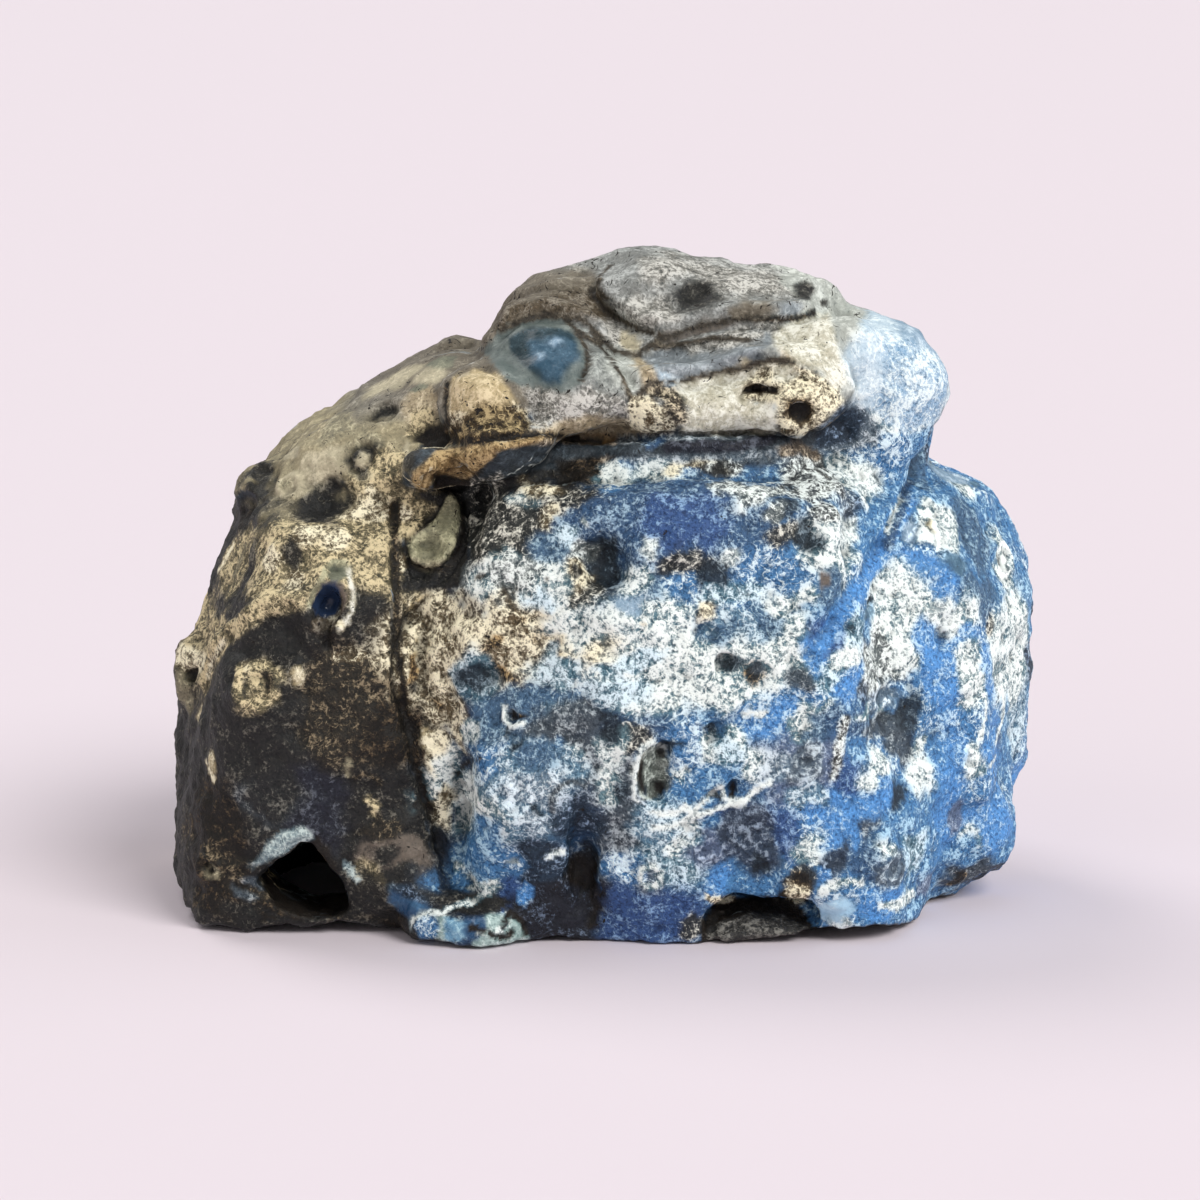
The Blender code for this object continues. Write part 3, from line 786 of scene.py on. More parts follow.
FINISH = {
    # name: stone, crust, crust cover, dark specks, polish, grit
    "white_lace": (rgb(104, 138, 148), WHITE, 0.76, 0.10, 0.0, 1.0),
    "white_solid": (rgb(150, 166, 168), WHITE, 0.84, 0.06, 0.0, 0.8),
    "teal_lace": (rgb(84, 124, 140), COLD_WHITE, 0.60, 0.10, 0.1, 0.9),
    "thin_lace": (BLUE, COLD_WHITE, 0.48, 0.10, 0.1, 1.0),
    "pale_lace": (rgb(98, 136, 160), rgb(222, 240, 247), 0.57, 0.10, 0.1, 1.0),
    "grey_lace": (rgb(108, 117, 116), WHITE, 0.58, 0.15, 0.0, 1.0),
    "speckled_white": (rgb(70, 72, 70), WHITE, 0.60, 0.34, 0.0, 1.0),
    "salted_blue": (BLUE, rgb(180, 218, 240), 0.36, 0.08, 0.2, 1.0),
    "salted_deep": (DEEP_BLUE, rgb(164, 192, 212), 0.33, 0.30, 0.2, 1.0),
    "bright_blue": (BRIGHT_BLUE, rgb(190, 224, 247), 0.27, 0.12, 0.3, 1.0),
    "sky_smooth": (rgb(124, 154, 178), rgb(204, 222, 234), 0.50, 0.02, 0.3, 0.3),
    "navy": (NAVY, rgb(140, 162, 188), 0.26, 0.28, 0.3, 1.0),
    "teal_deep": (rgb(62, 96, 118), SKY, 0.20, 0.06, 0.5, 0.3),
    "glassy_teal": (rgb(36, 54, 60), rgb(84, 106, 116), 0.34, 0.06, 0.5, 0.3),
    "slate_mottle": (rgb(72, 82, 90), rgb(176, 186, 190), 0.34, 0.26, 0.1, 0.9),
    "lavender_mottle": (rgb(92, 108, 136), rgb(170, 184, 204), 0.40, 0.12, 0.2, 0.8),
    "ring_grey": (rgb(56, 68, 84), rgb(136, 150, 166), 0.30, 0.16, 0.2, 0.8),
    "ring_pale": (rgb(92, 108, 122), rgb(196, 210, 216), 0.44, 0.12, 0.2, 0.7),
    "violet_dark": (rgb(32, 35, 46), rgb(88, 93, 104), 0.32, 0.26, 0.4, 0.9),
    "charcoal": (rgb(34, 34, 33), rgb(110, 107, 98), 0.24, 0.26, 0.2, 0.9),
    "black": (BROWN_BLACK, rgb(80, 74, 68), 0.16, 0.50, 0.1, 0.8),
    "brown_black": (rgb(26, 22, 17), rgb(98, 83, 64), 0.30, 0.36, 0.1, 0.8),
    "brown_spot": (BROWN_BLACK, OCHRE, 0.22, 0.40, 0.1, 0.8),
    "earth_mottle": (rgb(42, 38, 31), rgb(146, 131, 106), 0.32, 0.34, 0.0, 1.0),
    "olive_mottle": (rgb(108, 100, 76), rgb(226, 209, 167), 0.60, 0.14, 0.0, 0.9),
    "olive_grey": (OLIVE_GREY, rgb(204, 196, 164), 0.40, 0.14, 0.05, 0.5),
    "grey_green": (rgb(100, 104, 88), rgb(160, 160, 138), 0.44, 0.06, 0.2, 0.3),
    "cream_lace": (rgb(108, 94, 69), CREAM, 0.65, 0.14, 0.0, 0.9),
    "cream_solid": (rgb(176, 160, 122), CREAM, 0.92, 0.06, 0.0, 0.5),
    "speckled_cream": (rgb(96, 80, 56), CREAM, 0.66, 0.34, 0.0, 0.9),
    "ochre_lace": (BROWN, OCHRE, 0.60, 0.34, 0.0, 0.9),
    "ochre_smooth": (rgb(150, 116, 70), rgb(214, 186, 138), 0.50, 0.24, 0.1, 0.4),
    "warm_smooth": (rgb(104, 96, 82), rgb(160, 153, 138), 0.48, 0.18, 0.15, 0.35),
    "speckled_warm": (rgb(84, 72, 54), rgb(146, 138, 124), 0.50, 0.40, 0.1, 0.6),
    "cool_smooth": (rgb(122, 124, 120), rgb(190, 193, 190), 0.52, 0.20, 0.15, 0.4),
    "slate_smooth": (rgb(112, 120, 124), rgb(184, 192, 196), 0.50, 0.12, 0.3, 0.3),
    "cream_smooth": (rgb(186, 180, 156), rgb(243, 242, 228), 0.66, 0.14, 0.1, 0.42),
    "pale_smooth": (rgb(160, 164, 156), rgb(224, 228, 220), 0.58, 0.10, 0.2, 0.3),
    "milky": (rgb(176, 200, 216), rgb(240, 251, 253), 0.56, 0.03, 0.4, 0.35),
    "pale_blue": (SKY, COLD_WHITE, 0.46, 0.02, 0.5, 0.15),
    "slope_smooth": (rgb(138, 129, 102), rgb(206, 194, 160), 0.50, 0.08, 0.1, 0.3),
    "slope_pale": (rgb(172, 163, 136), rgb(224, 214, 184), 0.56, 0.04, 0.1, 0.25),
    "speckled_pale": (rgb(118, 116, 108), rgb(212, 210, 202), 0.58, 0.28, 0.1, 0.7),
    "tan_smooth": (rgb(164, 148, 118), rgb(222, 208, 178), 0.54, 0.18, 0.1, 0.45),
    "peach_smooth": (rgb(172, 152, 110), rgb(230, 212, 174), 0.58, 0.16, 0.2, 0.4),
    "rim_grey": (rgb(96, 107, 104), rgb(146, 153, 148), 0.45, 0.06, 0.3, 0.25),
    "ripple_grey": (rgb(118, 122, 118), rgb(192, 196, 190), 0.54, 0.14, 0.2, 0.4),
    "blue_glass": (rgb(52, 82, 102), rgb(108, 138, 158), 0.40, 0.02, 0.5, 0.3),
    "dark_stain": (rgb(40, 40, 38), rgb(116, 114, 106), 0.34, 0.38, 0.1, 0.7),
    "slate_blue": (rgb(72, 104, 134), rgb(164, 194, 212), 0.34, 0.10, 0.2, 0.9),
    "dark_teal": (rgb(34, 46, 56), rgb(112, 130, 142), 0.26, 0.30, 0.2, 0.9),
    "royal": (rgb(57, 88, 140), rgb(138, 172, 210), 0.34, 0.24, 0.2, 1.0),
    "charcoal_salt": (rgb(50, 52, 50), rgb(228, 226, 212), 0.34, 0.26, 0.1, 1.0),
    "lavender_lace": (rgb(114, 139, 158), rgb(224, 237, 243), 0.56, 0.10, 0.2, 0.9),
    "slate_dark": (rgb(44, 52, 58), rgb(92, 104, 112), 0.34, 0.12, 0.2, 0.5),
    "ledge_cream": (rgb(118, 94, 58), rgb(198, 172, 126), 0.58, 0.38, 0.05, 0.7),
    "fin_green": (rgb(122, 120, 96), rgb(194, 190, 156), 0.54, 0.10, 0.2, 0.4),
    "eye_glass": (rgb(34, 48, 72), rgb(58, 76, 106), 0.35, 0.0, 0.85, 0.1),
    "mint_glass": (rgb(146, 174, 170), rgb(222, 240, 234), 0.54, 0.06, 0.6, 0.45),
    "sky_glass": (rgb(96, 152, 190), rgb(186, 226, 238), 0.52, 0.0, 0.7, 0.35),
    "deep_glass": (rgb(40, 72, 106), rgb(80, 124, 160), 0.40, 0.0, 0.8, 0.15),
    "lens_grey": (rgb(104, 112, 104), rgb(206, 216, 206), 0.56, 0.22, 0.1, 0.6),
    "flap_grey": (rgb(52, 51, 50), rgb(128, 126, 120), 0.42, 0.24, 0.2, 0.8),
    "groove_slate": (rgb(100, 115, 126), rgb(200, 210, 216), 0.44, 0.24, 0.1, 1.0),
    "dark_knob": (rgb(58, 45, 25), rgb(184, 164, 122), 0.44, 0.52, 0.05, 0.7),
    "groove_brown": (rgb(92, 80, 66), rgb(196, 182, 160), 0.44, 0.32, 0.1, 0.8),
    "ink": (rgb(31, 34, 43), rgb(104, 118, 138), 0.24, 0.28, 0.2, 0.9),
    "crease_grey": (rgb(62, 56, 47), rgb(112, 104, 90), 0.40, 0.30, 0.1, 0.6),
    "lip_pale": (rgb(124, 144, 150), rgb(206, 221, 217), 0.58, 0.14, 0.3, 0.6),
    "pepper": (rgb(58, 50, 40), rgb(224, 210, 180), 0.48, 0.34, 0.0, 0.9),
    "bump_lace": (rgb(134, 172, 204), rgb(238, 251, 252), 0.60, 0.04, 0.3, 0.6),
    "taupe": (TAUPE, rgb(150, 138, 126), 0.40, 0.12, 0.1, 0.3),
    "inside": (rgb(60, 70, 84), rgb(140, 154, 168), 0.42, 0.10, 0.7, 0.3),
    "broken": (rgb(54, 56, 58), rgb(136, 140, 140), 0.36, 0.26, 0.3, 0.8),
}
print("finishes:", len(FINISH))

# %% [markdown]
# ## The brush
# Every point of the stone keeps a finish of ten numbers, and paint goes over paint as on a canvas: a
# mark that is laid at full strength replaces what was there, and a weaker one mixes with it. Marks are
# measured on a swirled copy of the points, which makes their edges flow.

# %% Paint
# the columns in which a point's finish is kept
STONE = slice(0, 3)
CRUST = slice(3, 6)
COLOURS = slice(0, 6)
COVER = 6
SALT = slice(6, 8)  # cover and specks together
POLISH = 8
AMOUNTS = slice(6, 10)


class Paint:
    """The finish of every point of the stone, laid on mark by mark."""

    def __init__(self, count):
        self.values = np.zeros((count, AMOUNTS.stop))

    def lay(self, finish, members, weight):
        """Mixes a finish into these points, each by its own weight."""
        stone_colour, crust_colour, *amounts = FINISH[finish]
        target = np.concatenate([stone_colour, crust_colour, amounts])
        weight = np.clip(weight, 0, 1)[:, None]
        self.values[members] = self.values[members] * (1 - weight) + target * weight


SWIRL = [(4.0 * MM, 1.3 * MM, 31), (1.3 * MM, 0.45 * MM, 41)]  # size of the waves, reach and seed
swirled = clay.points.copy()
for size, reach, seed in SWIRL:
    for axis in range(3):
        swirled[:, axis] += reach * lumps(clay.points, size, 2, seed + axis)

paint = Paint(len(clay.points))
everywhere = np.arange(len(clay.points))
wobble = ragged(clay.points) / 0.4  # mostly between -1 and 1
big_wave = lumps(clay.points, 11 * MM, 3, 21)
print("points to paint:", len(everywhere))

# %% [markdown]
# ## Ground colours
# First the wide zones, as a painter blocks in a canvas: blue chalcedony on the front and the right,
# dark and earthy on the left, where the dark is partly painted shade of the side turned from the key
# light, a pale waxy cap, broken stone underneath and grey agate in the hollow.
# A point is in the hollow when a line straight out of it meets the stone again further off.

# %% Wide zones
HOLLOW_BOX = (45, 50)  # the hollow lies less than this far out to either side and lower than this
START_OFF = 0.3 * MM  # a ray starts this far off the skin
HOLLOW = (5, 9)  # a point is in the hollow when the facing wall is further off than this
BROKEN_SHARE = 0.9

x, y, z = (clay.points / MM).T
down = -clay.facing[:, 2]
enclosed = np.zeros(len(x))
for index in np.flatnonzero((np.abs(x) < HOLLOW_BOX[0]) & (z < HOLLOW_BOX[1])):
    start = Vector(clay.points[index] + clay.facing[index] * START_OFF)
    hit = skin.ray_cast(start, Vector(clay.facing[index]))
    if hit[0] is not None:
        enclosed[index] = hit[3] / MM

side = x + 6 * big_wave
wave = big_wave + 0.25 * wobble
cap = ramp(cap_share(clay.points) + 0.2 * wobble, 0.3, 0.7) * ramp(z, 54, 60)
hollow = ramp(enclosed, *HOLLOW)
ZONES = [
    # finish, and how much of it each point takes: x, y, z and side are in mm
    ("salted_deep", np.ones(len(x))),
    ("salted_blue", ramp(side, 5, 25)),
    # partly painted shade: the left face is darkened, partly for its earthy colour and partly for the
    # shade of the side turned from the key light
    ("charcoal", ramp(-side, 10, 20)),
    ("thin_lace", ramp(wave, 0.1, 0.35) * ramp(side, -12, 0)),
    ("olive_mottle", ramp(wave, 0.05, 0.3) * ramp(-side, 12, 20) * ramp(z, 20, 34)),
    ("navy", ramp(-big_wave, 0.25, 0.5) * ramp(side, -12, 0)),
    ("slope_smooth", ramp(z + 4 * wobble, 45, 50) * ramp(-x, 12, 20)),
    ("cool_smooth", cap),
    ("warm_smooth", cap * ramp(-x - 4 * wobble, 2, 8)),
    ("pale_smooth", cap * ramp(x + 4 * wobble, 14, 20)),
    ("broken", ramp(down, 0.6, 0.9) * ramp(-z, -6, -2)),
    # painted shade: the downward-facing underside of the lip over the groove is painted dark slate
    ("slate_dark", ramp(down, 0.0, 0.4) * ramp(z, 38, 42) * ramp(-y, 0, 8) * ramp(30 - x, 0, 6)),
    ("inside", hollow),
    ("broken", hollow * ramp(x, -5, 0) * BROKEN_SHARE),
]
for finish, share in ZONES:
    paint.lay(finish, everywhere, share)
print("zones:", len(ZONES), "points in the hollow:", int((enclosed > sum(HOLLOW) / 2).sum()))

# %% [markdown]
# ## Patches
# Now the patches of crust and stain, part by part, with the largest first where they overlap. Each has
# a finish, the edges of the box that it fills in the picture, in pixels, and for some a lean in
# degrees. A row holds patches of one finish.

# %% Patches on the cap and the slope
CAP_PATCHES = [
    # finish, then the left, top, right and bottom of each patch in the picture, and its lean
    ("slope_pale", (372, 362, 414, 402, -35), (418, 358, 438, 388), (322, 440, 346, 482),
        (298, 452, 330, 502), (270, 478, 302, 502), (384, 432, 408, 482), (284, 440, 306, 462),
        (278, 474, 305, 500)),
    ("olive_grey", (322, 404, 354, 440), (344, 424, 378, 480), (280, 480, 292, 492)),
    ("charcoal", (371, 401, 396, 423, 40), (347, 440, 375, 480, 10), (252, 462, 281, 484),
        (249, 482, 266, 496), (300, 480, 346, 528)),
    ("black", (235, 502, 259, 524), (638, 376, 664, 394), (668, 394, 686, 414)),
    ("dark_stain", (404, 438, 442, 474), (626, 396, 642, 416)),
    ("tan_smooth", (400, 384, 438, 436)),
    ("olive_mottle", (404, 408, 430, 440), (346, 484, 412, 500)),
    ("grey_green", (424, 350, 450, 376), (410, 380, 421, 395)),
    ("slope_pale", (352, 454, 368, 472)),
    ("black", (420, 428, 450, 446)),
    ("speckled_pale", (596, 306, 642, 354)),
    ("slope_pale", (616, 326, 642, 352)),
    ("taupe", (662, 326, 774, 348, -8)),
    ("dark_stain", (682, 338, 738, 350, -4)),
    ("speckled_pale", (750, 326, 784, 356)),
    ("tan_smooth", (774, 334, 808, 356)),
    ("warm_smooth", (470, 346, 506, 366)),
    ("slope_pale", (700, 368, 760, 396)),
    ("cream_lace", (745, 398, 772, 420)),
    ("bright_blue", (930, 344, 950, 398, 15)),
    ("milky", (850, 385, 945, 425)),
    ("thin_lace", (740, 414, 772, 444)),
    ("salted_blue", (850, 408, 935, 440)),
    ("white_lace", (868, 398, 940, 432)),
    ("olive_mottle", (370, 444, 402, 502)),
    ("slope_smooth", (386, 424, 406, 456)),
]
print("cap and slope, rows of patches:", len(CAP_PATCHES))

# %% Patches on the left face
LEFT_PATCHES = [
    # partly painted shade: the wide charcoal patch darkens the left face, turned from the key light, over
    # its earthy colour
    ("charcoal", (200, 600, 404, 930), (220, 600, 400, 700)),
    ("olive_mottle", (238, 518, 312, 604), (300, 525, 350, 604), (330, 498, 398, 582)),
    ("cream_lace", (345, 495, 400, 522), (318, 528, 346, 554), (294, 520, 322, 542),
        (170, 640, 206, 670)),
    ("charcoal", (302, 483, 346, 528), (282, 536, 297, 568), (246, 536, 259, 604)),
    ("brown_black", (176, 765, 240, 915), (182, 875, 262, 920)),
    ("earth_mottle", (300, 645, 402, 765), (180, 815, 196, 850)),
    ("charcoal", (345, 590, 404, 650), (218, 690, 300, 730), (224, 898, 302, 925), (350, 600, 396, 645)),
    ("cream_lace", (278, 568, 302, 604), (260, 545, 280, 575), (316, 578, 352, 620),
        (328, 648, 372, 664)),
    ("brown_black", (370, 700, 432, 770), (262, 890, 300, 925)),
    ("olive_grey", (201, 857, 221, 883), (168, 678, 194, 708)),
    ("charcoal", (228, 612, 312, 662, -8), (205, 861, 215, 875)),
    ("black", (304, 624, 343, 641), (184, 665, 196, 683)),
    ("earth_mottle", (200, 838, 224, 862), (224, 858, 244, 884)),
    ("violet_dark", (285, 762, 352, 852)),
    ("slate_mottle", (235, 772, 298, 822)),
    ("charcoal", (200, 720, 300, 775), (345, 780, 432, 830), (240, 770, 300, 820)),
    ("cream_solid", (195, 700, 205, 723), (202, 749, 216, 767)),
    ("cream_lace", (236, 662, 256, 682)),
    ("olive_mottle", (238, 686, 284, 712), (242, 664, 284, 690), (214, 530, 262, 590)),
    ("earth_mottle", (260, 674, 276, 686), (300, 698, 346, 762)),
    ("cream_solid", (290, 661, 307, 679)),
    ("navy", (311, 579, 341, 617, 20)),
    ("brown_black", (308, 619, 330, 630)),
    ("taupe", (362, 836, 432, 870)),
    ("earth_mottle", (360, 818, 402, 836)),
    ("olive_mottle", (352, 866, 386, 914)),
    ("teal_deep", (388, 888, 432, 916)),
    ("brown_black", (300, 895, 400, 925)),
    ("earth_mottle", (350, 893, 384, 918)),
    ("charcoal", (372, 844, 400, 868), (330, 880, 400, 925)),
    ("slope_smooth", (250, 425, 300, 470)),
]
print("left, rows of patches:", len(LEFT_PATCHES))

# %% Patches on the front face
FRONT_PATCHES = [
    ("white_lace", (600, 640, 720, 706), (816, 697, 834, 722)),
    ("charcoal", (462, 442, 610, 505)),
    ("charcoal_salt", (458, 490, 605, 562)),
    ("salted_deep", (600, 474, 800, 560)),
    ("slate_mottle", (680, 430, 790, 470)),
    ("white_lace", (560, 598, 790, 706, 6), (634, 454, 676, 478)),
    ("thin_lace", (736, 540, 816, 604), (700, 600, 800, 648)),
    ("white_lace", (812, 515, 862, 580), (794, 579, 812, 602)),
    ("royal", (640, 490, 730, 548)),
    ("grey_lace", (452, 552, 600, 608), (712, 476, 750, 496), (744, 480, 790, 498)),
    ("cream_lace", (436, 604, 600, 688), (404, 600, 450, 700), (660, 460, 726, 474)),
    ("brown_spot", (637, 618, 646, 629), (504, 619, 530, 638), (480, 631, 514, 650), (528, 631, 550, 645),
        (546, 651, 566, 664), (486, 645, 502, 657)),
    ("speckled_white", (704, 460, 750, 482), (776, 452, 846, 504), (812, 498, 847, 524)),
    ("dark_teal", (774, 494, 804, 518), (784, 484, 800, 492), (792, 524, 818, 558)),
    ("charcoal", (470, 452, 560, 500), (714, 466, 730, 478)),
    ("white_lace", (834, 446, 866, 504), (494, 492, 530, 508)),
    ("white_solid", (848, 458, 886, 494, 30), (636, 538, 656, 564), (828, 520, 858, 546)),
    ("slate_blue", (470, 690, 600, 770)),
    ("teal_lace", (598, 656, 664, 673), (596, 680, 652, 704)),
    ("pale_lace", (452, 742, 570, 856)),
    ("slate_mottle", (566, 735, 640, 800), (585, 795, 650, 860), (520, 712, 592, 744)),
    ("salted_blue", (795, 855, 900, 925), (546, 738, 570, 757)),
    ("charcoal_salt", (762, 520, 798, 548), (612, 722, 650, 752)),
    ("white_lace", (820, 540, 862, 574), (598, 726, 628, 764), (594, 760, 620, 802)),
    ("teal_lace", (632, 800, 708, 892)),
    ("salted_blue", (660, 712, 742, 806)),
    ("bright_blue", (735, 685, 800, 745), (832, 680, 862, 702)),
    ("thin_lace", (660, 715, 706, 780)),
    ("white_lace", (730, 632, 806, 696), (700, 738, 720, 762), (674, 764, 692, 778)),
    ("dark_teal", (612, 780, 628, 798), (664, 741, 676, 752), (702, 722, 720, 740)),
    ("royal", (588, 888, 705, 948)),
    ("navy", (500, 850, 590, 935)),
    ("lavender_mottle", (760, 735, 845, 800)),
    ("bright_blue", (800, 785, 900, 835)),
    ("royal", (700, 804, 800, 828)),
    ("salted_blue", (700, 855, 800, 900)),
    ("salted_deep", (560, 500, 622, 545)),
    ("dark_teal", (600, 530, 622, 560), (886, 780, 908, 814, 15)),
    ("slate_dark", (482, 446, 566, 474)),
    ("brown_black", (556, 444, 600, 492)),
    ("white_lace", (592, 458, 634, 490), (454, 790, 512, 850)),
    ("cream_lace", (516, 476, 566, 502), (532, 506, 560, 532)),
    ("charcoal_salt", (470, 502, 532, 556)),
    ("salted_deep", (552, 503, 594, 528)),
    ("slate_blue", (530, 530, 584, 570), (812, 570, 842, 604)),
    ("teal_lace", (556, 522, 582, 546), (714, 732, 748, 768)),
    ("white_lace", (470, 556, 540, 606), (727, 722, 748, 748), (734, 752, 766, 784)),
    ("white_solid", (579, 513, 593, 524, 30)),
    ("dark_teal", (584, 532, 618, 602, 12)),
    ("grey_lace", (566, 547, 592, 566), (766, 500, 790, 524)),
    ("charcoal_salt", (560, 580, 606, 604)),
    ("cream_lace", (558, 562, 590, 592)),
    ("white_lace", (538, 562, 566, 606), (618, 566, 650, 590)),
    ("dark_stain", (568, 570, 579, 580), (545, 579, 553, 588)),
    ("grey_lace", (488, 560, 540, 596)),
    ("dark_stain", (477, 574, 487, 584), (505, 586, 513, 594), (516, 585, 524, 593)),
    ("teal_lace", (520, 592, 554, 608)),
    ("sky_smooth", (612, 592, 640, 612)),
    ("slate_blue", (644, 578, 678, 600)),
    ("charcoal_salt", (660, 552, 724, 584)),
    ("thin_lace", (664, 576, 726, 604)),
    ("white_solid", (726, 549, 740, 569)),
    ("dark_teal", (700, 558, 728, 588)),
    ("teal_lace", (700, 586, 764, 604)),
    ("slate_blue", (742, 602, 794, 642)),
    ("white_lace", (762, 590, 804, 612), (786, 610, 814, 644)),
    ("cream_lace", (700, 602, 724, 622)),
    ("pale_lace", (706, 612, 752, 652), (546, 702, 582, 722)),
    ("slate_blue", (700, 626, 740, 650)),
    ("dark_teal", (697, 626, 707, 635)),
    ("taupe", (814, 574, 826, 590)),
    ("charcoal_salt", (692, 612, 708, 624)),
    ("brown_spot", (518, 604, 536, 622)),
    ("speckled_cream", (436, 612, 482, 670), (478, 598, 542, 654)),
    ("brown_spot", (488, 636, 512, 648), (520, 608, 532, 620)),
    ("cream_lace", (410, 604, 446, 690), (494, 649, 524, 673)),
    ("white_lace", (537, 606, 606, 646), (664, 640, 760, 700)),
    ("ochre_lace", (406, 655, 438, 684)),
    ("brown_spot", (495, 668, 513, 681)),
    ("dark_teal", (457, 664, 495, 699), (720, 660, 736, 676)),
    ("cream_lace", (424, 684, 460, 722), (446, 700, 470, 745)),
    ("brown_spot", (738, 664, 764, 690), (430, 696, 440, 708)),
    ("slate_mottle", (744, 660, 762, 680), (560, 738, 586, 764)),
    ("white_lace", (764, 640, 802, 680), (563, 748, 580, 760)),
    ("teal_lace", (530, 654, 584, 686)),
    ("cream_solid", (425, 724, 440, 768, -6)),
    ("speckled_cream", (432, 730, 452, 790, -8)),
    ("cream_lace", (432, 736, 450, 806, -10), (404, 606, 450, 690)),
    ("white_lace", (448, 744, 468, 806, -10), (444, 768, 500, 836)),
    ("slate_blue", (472, 698, 504, 742)),
    ("white_lace", (461, 722, 479, 744)),
    ("thin_lace", (456, 742, 524, 770)),
    ("pale_lace", (500, 744, 580, 790)),
    ("lavender_lace", (500, 774, 566, 806), (758, 752, 796, 784)),
    ("dark_teal", (510, 738, 526, 754), (504, 728, 518, 744)),
    ("ring_pale", (632, 862, 670, 900), (784, 742, 824, 784)),
    ("pale_lace", (508, 806, 560, 840), (794, 784, 828, 808)),
    ("lavender_lace", (516, 816, 552, 838)),
    ("navy", (556, 800, 592, 836)),
    ("dark_teal", (531, 802, 543, 813), (574, 834, 607, 882)),
    ("slate_mottle", (606, 812, 652, 846), (540, 704, 606, 742)),
    ("pale_lace", (636, 812, 700, 856)),
    ("white_lace", (664, 836, 696, 858), (684, 818, 698, 836), (790, 706, 818, 740)),
    ("salted_blue", (446, 826, 506, 892, 45), (698, 814, 722, 842)),
    ("slate_blue", (806, 718, 830, 744), (520, 742, 556, 772)),
    ("black", (560, 842, 600, 938)),
    ("thin_lace", (496, 842, 528, 882)),
    ("white_lace", (454, 859, 470, 871), (462, 878, 500, 892)),
    ("white_solid", (504, 859, 520, 867)),
    ("royal", (502, 878, 536, 914)),
    ("navy", (520, 842, 556, 862)),
    ("charcoal", (400, 884, 470, 908)),
    ("navy", (398, 884, 428, 912)),
    ("slate_mottle", (468, 894, 504, 914)),
    ("black", (526, 884, 600, 940)),
    ("navy", (524, 900, 562, 934)),
    ("ring_pale", (598, 850, 622, 888)),
    ("bright_blue", (700, 864, 732, 896)),
    ("thin_lace", (604, 850, 642, 892)),
    ("royal", (604, 894, 690, 936)),
    ("charcoal_salt", (676, 914, 708, 938)),
    ("olive_grey", (640, 748, 658, 784)),
    ("dark_teal", (640, 781, 647, 796), (596, 712, 620, 736)),
    ("grey_lace", (654, 758, 672, 786)),
    ("dark_teal", (655, 745, 667, 760)),
    ("salted_deep", (838, 702, 874, 742)),
    ("lavender_lace", (858, 686, 900, 712)),
    ("white_lace", (856, 702, 878, 719), (872, 707, 900, 726), (794, 714, 812, 730)),
    ("slate_mottle", (860, 716, 898, 742), (884, 728, 916, 762)),
    ("salted_blue", (842, 744, 877, 788)),
    ("royal", (840, 756, 868, 790)),
    ("white_lace", (864, 752, 890, 790), (910, 727, 930, 748)),
    ("white_solid", (902, 746, 940, 798)),
    ("teal_lace", (894, 812, 932, 876), (452, 650, 500, 700)),
    ("dark_teal", (896, 690, 926, 738, 8), (457, 664, 492, 696)),
    ("white_lace", (914, 768, 944, 802)),
    ("bright_blue", (874, 783, 894, 802)),
    ("ring_grey", (720, 806, 784, 870)),
    ("lavender_mottle", (694, 832, 724, 864), (914, 868, 942, 902)),
    ("dark_teal", (749, 855, 761, 869), (911, 884, 921, 901)),
    ("royal", (780, 806, 800, 862)),
    ("white_lace", (791, 835, 824, 866)),
    ("bright_blue", (820, 832, 862, 858)),
    ("ring_grey", (818, 846, 850, 880)),
    ("salted_deep", (853, 838, 882, 882)),
    ("slate_mottle", (853, 814, 892, 840)),
    ("royal", (880, 818, 902, 842)),
    ("white_lace", (876, 838, 904, 860)),
    ("ring_pale", (876, 852, 912, 884)),
    ("bright_blue", (812, 863, 832, 893)),
    ("charcoal_salt", (780, 866, 812, 906)),
    ("thin_lace", (812, 880, 874, 934)),
    ("white_solid", (832, 916, 857, 932)),
    ("pale_blue", (826, 898, 852, 920)),
    ("bright_blue", (860, 886, 904, 920)),
    ("white_lace", (894, 894, 916, 910)),
    ("cream_lace", (428, 790, 456, 830, -12)),
]
print("front, rows of patches:", len(FRONT_PATCHES))

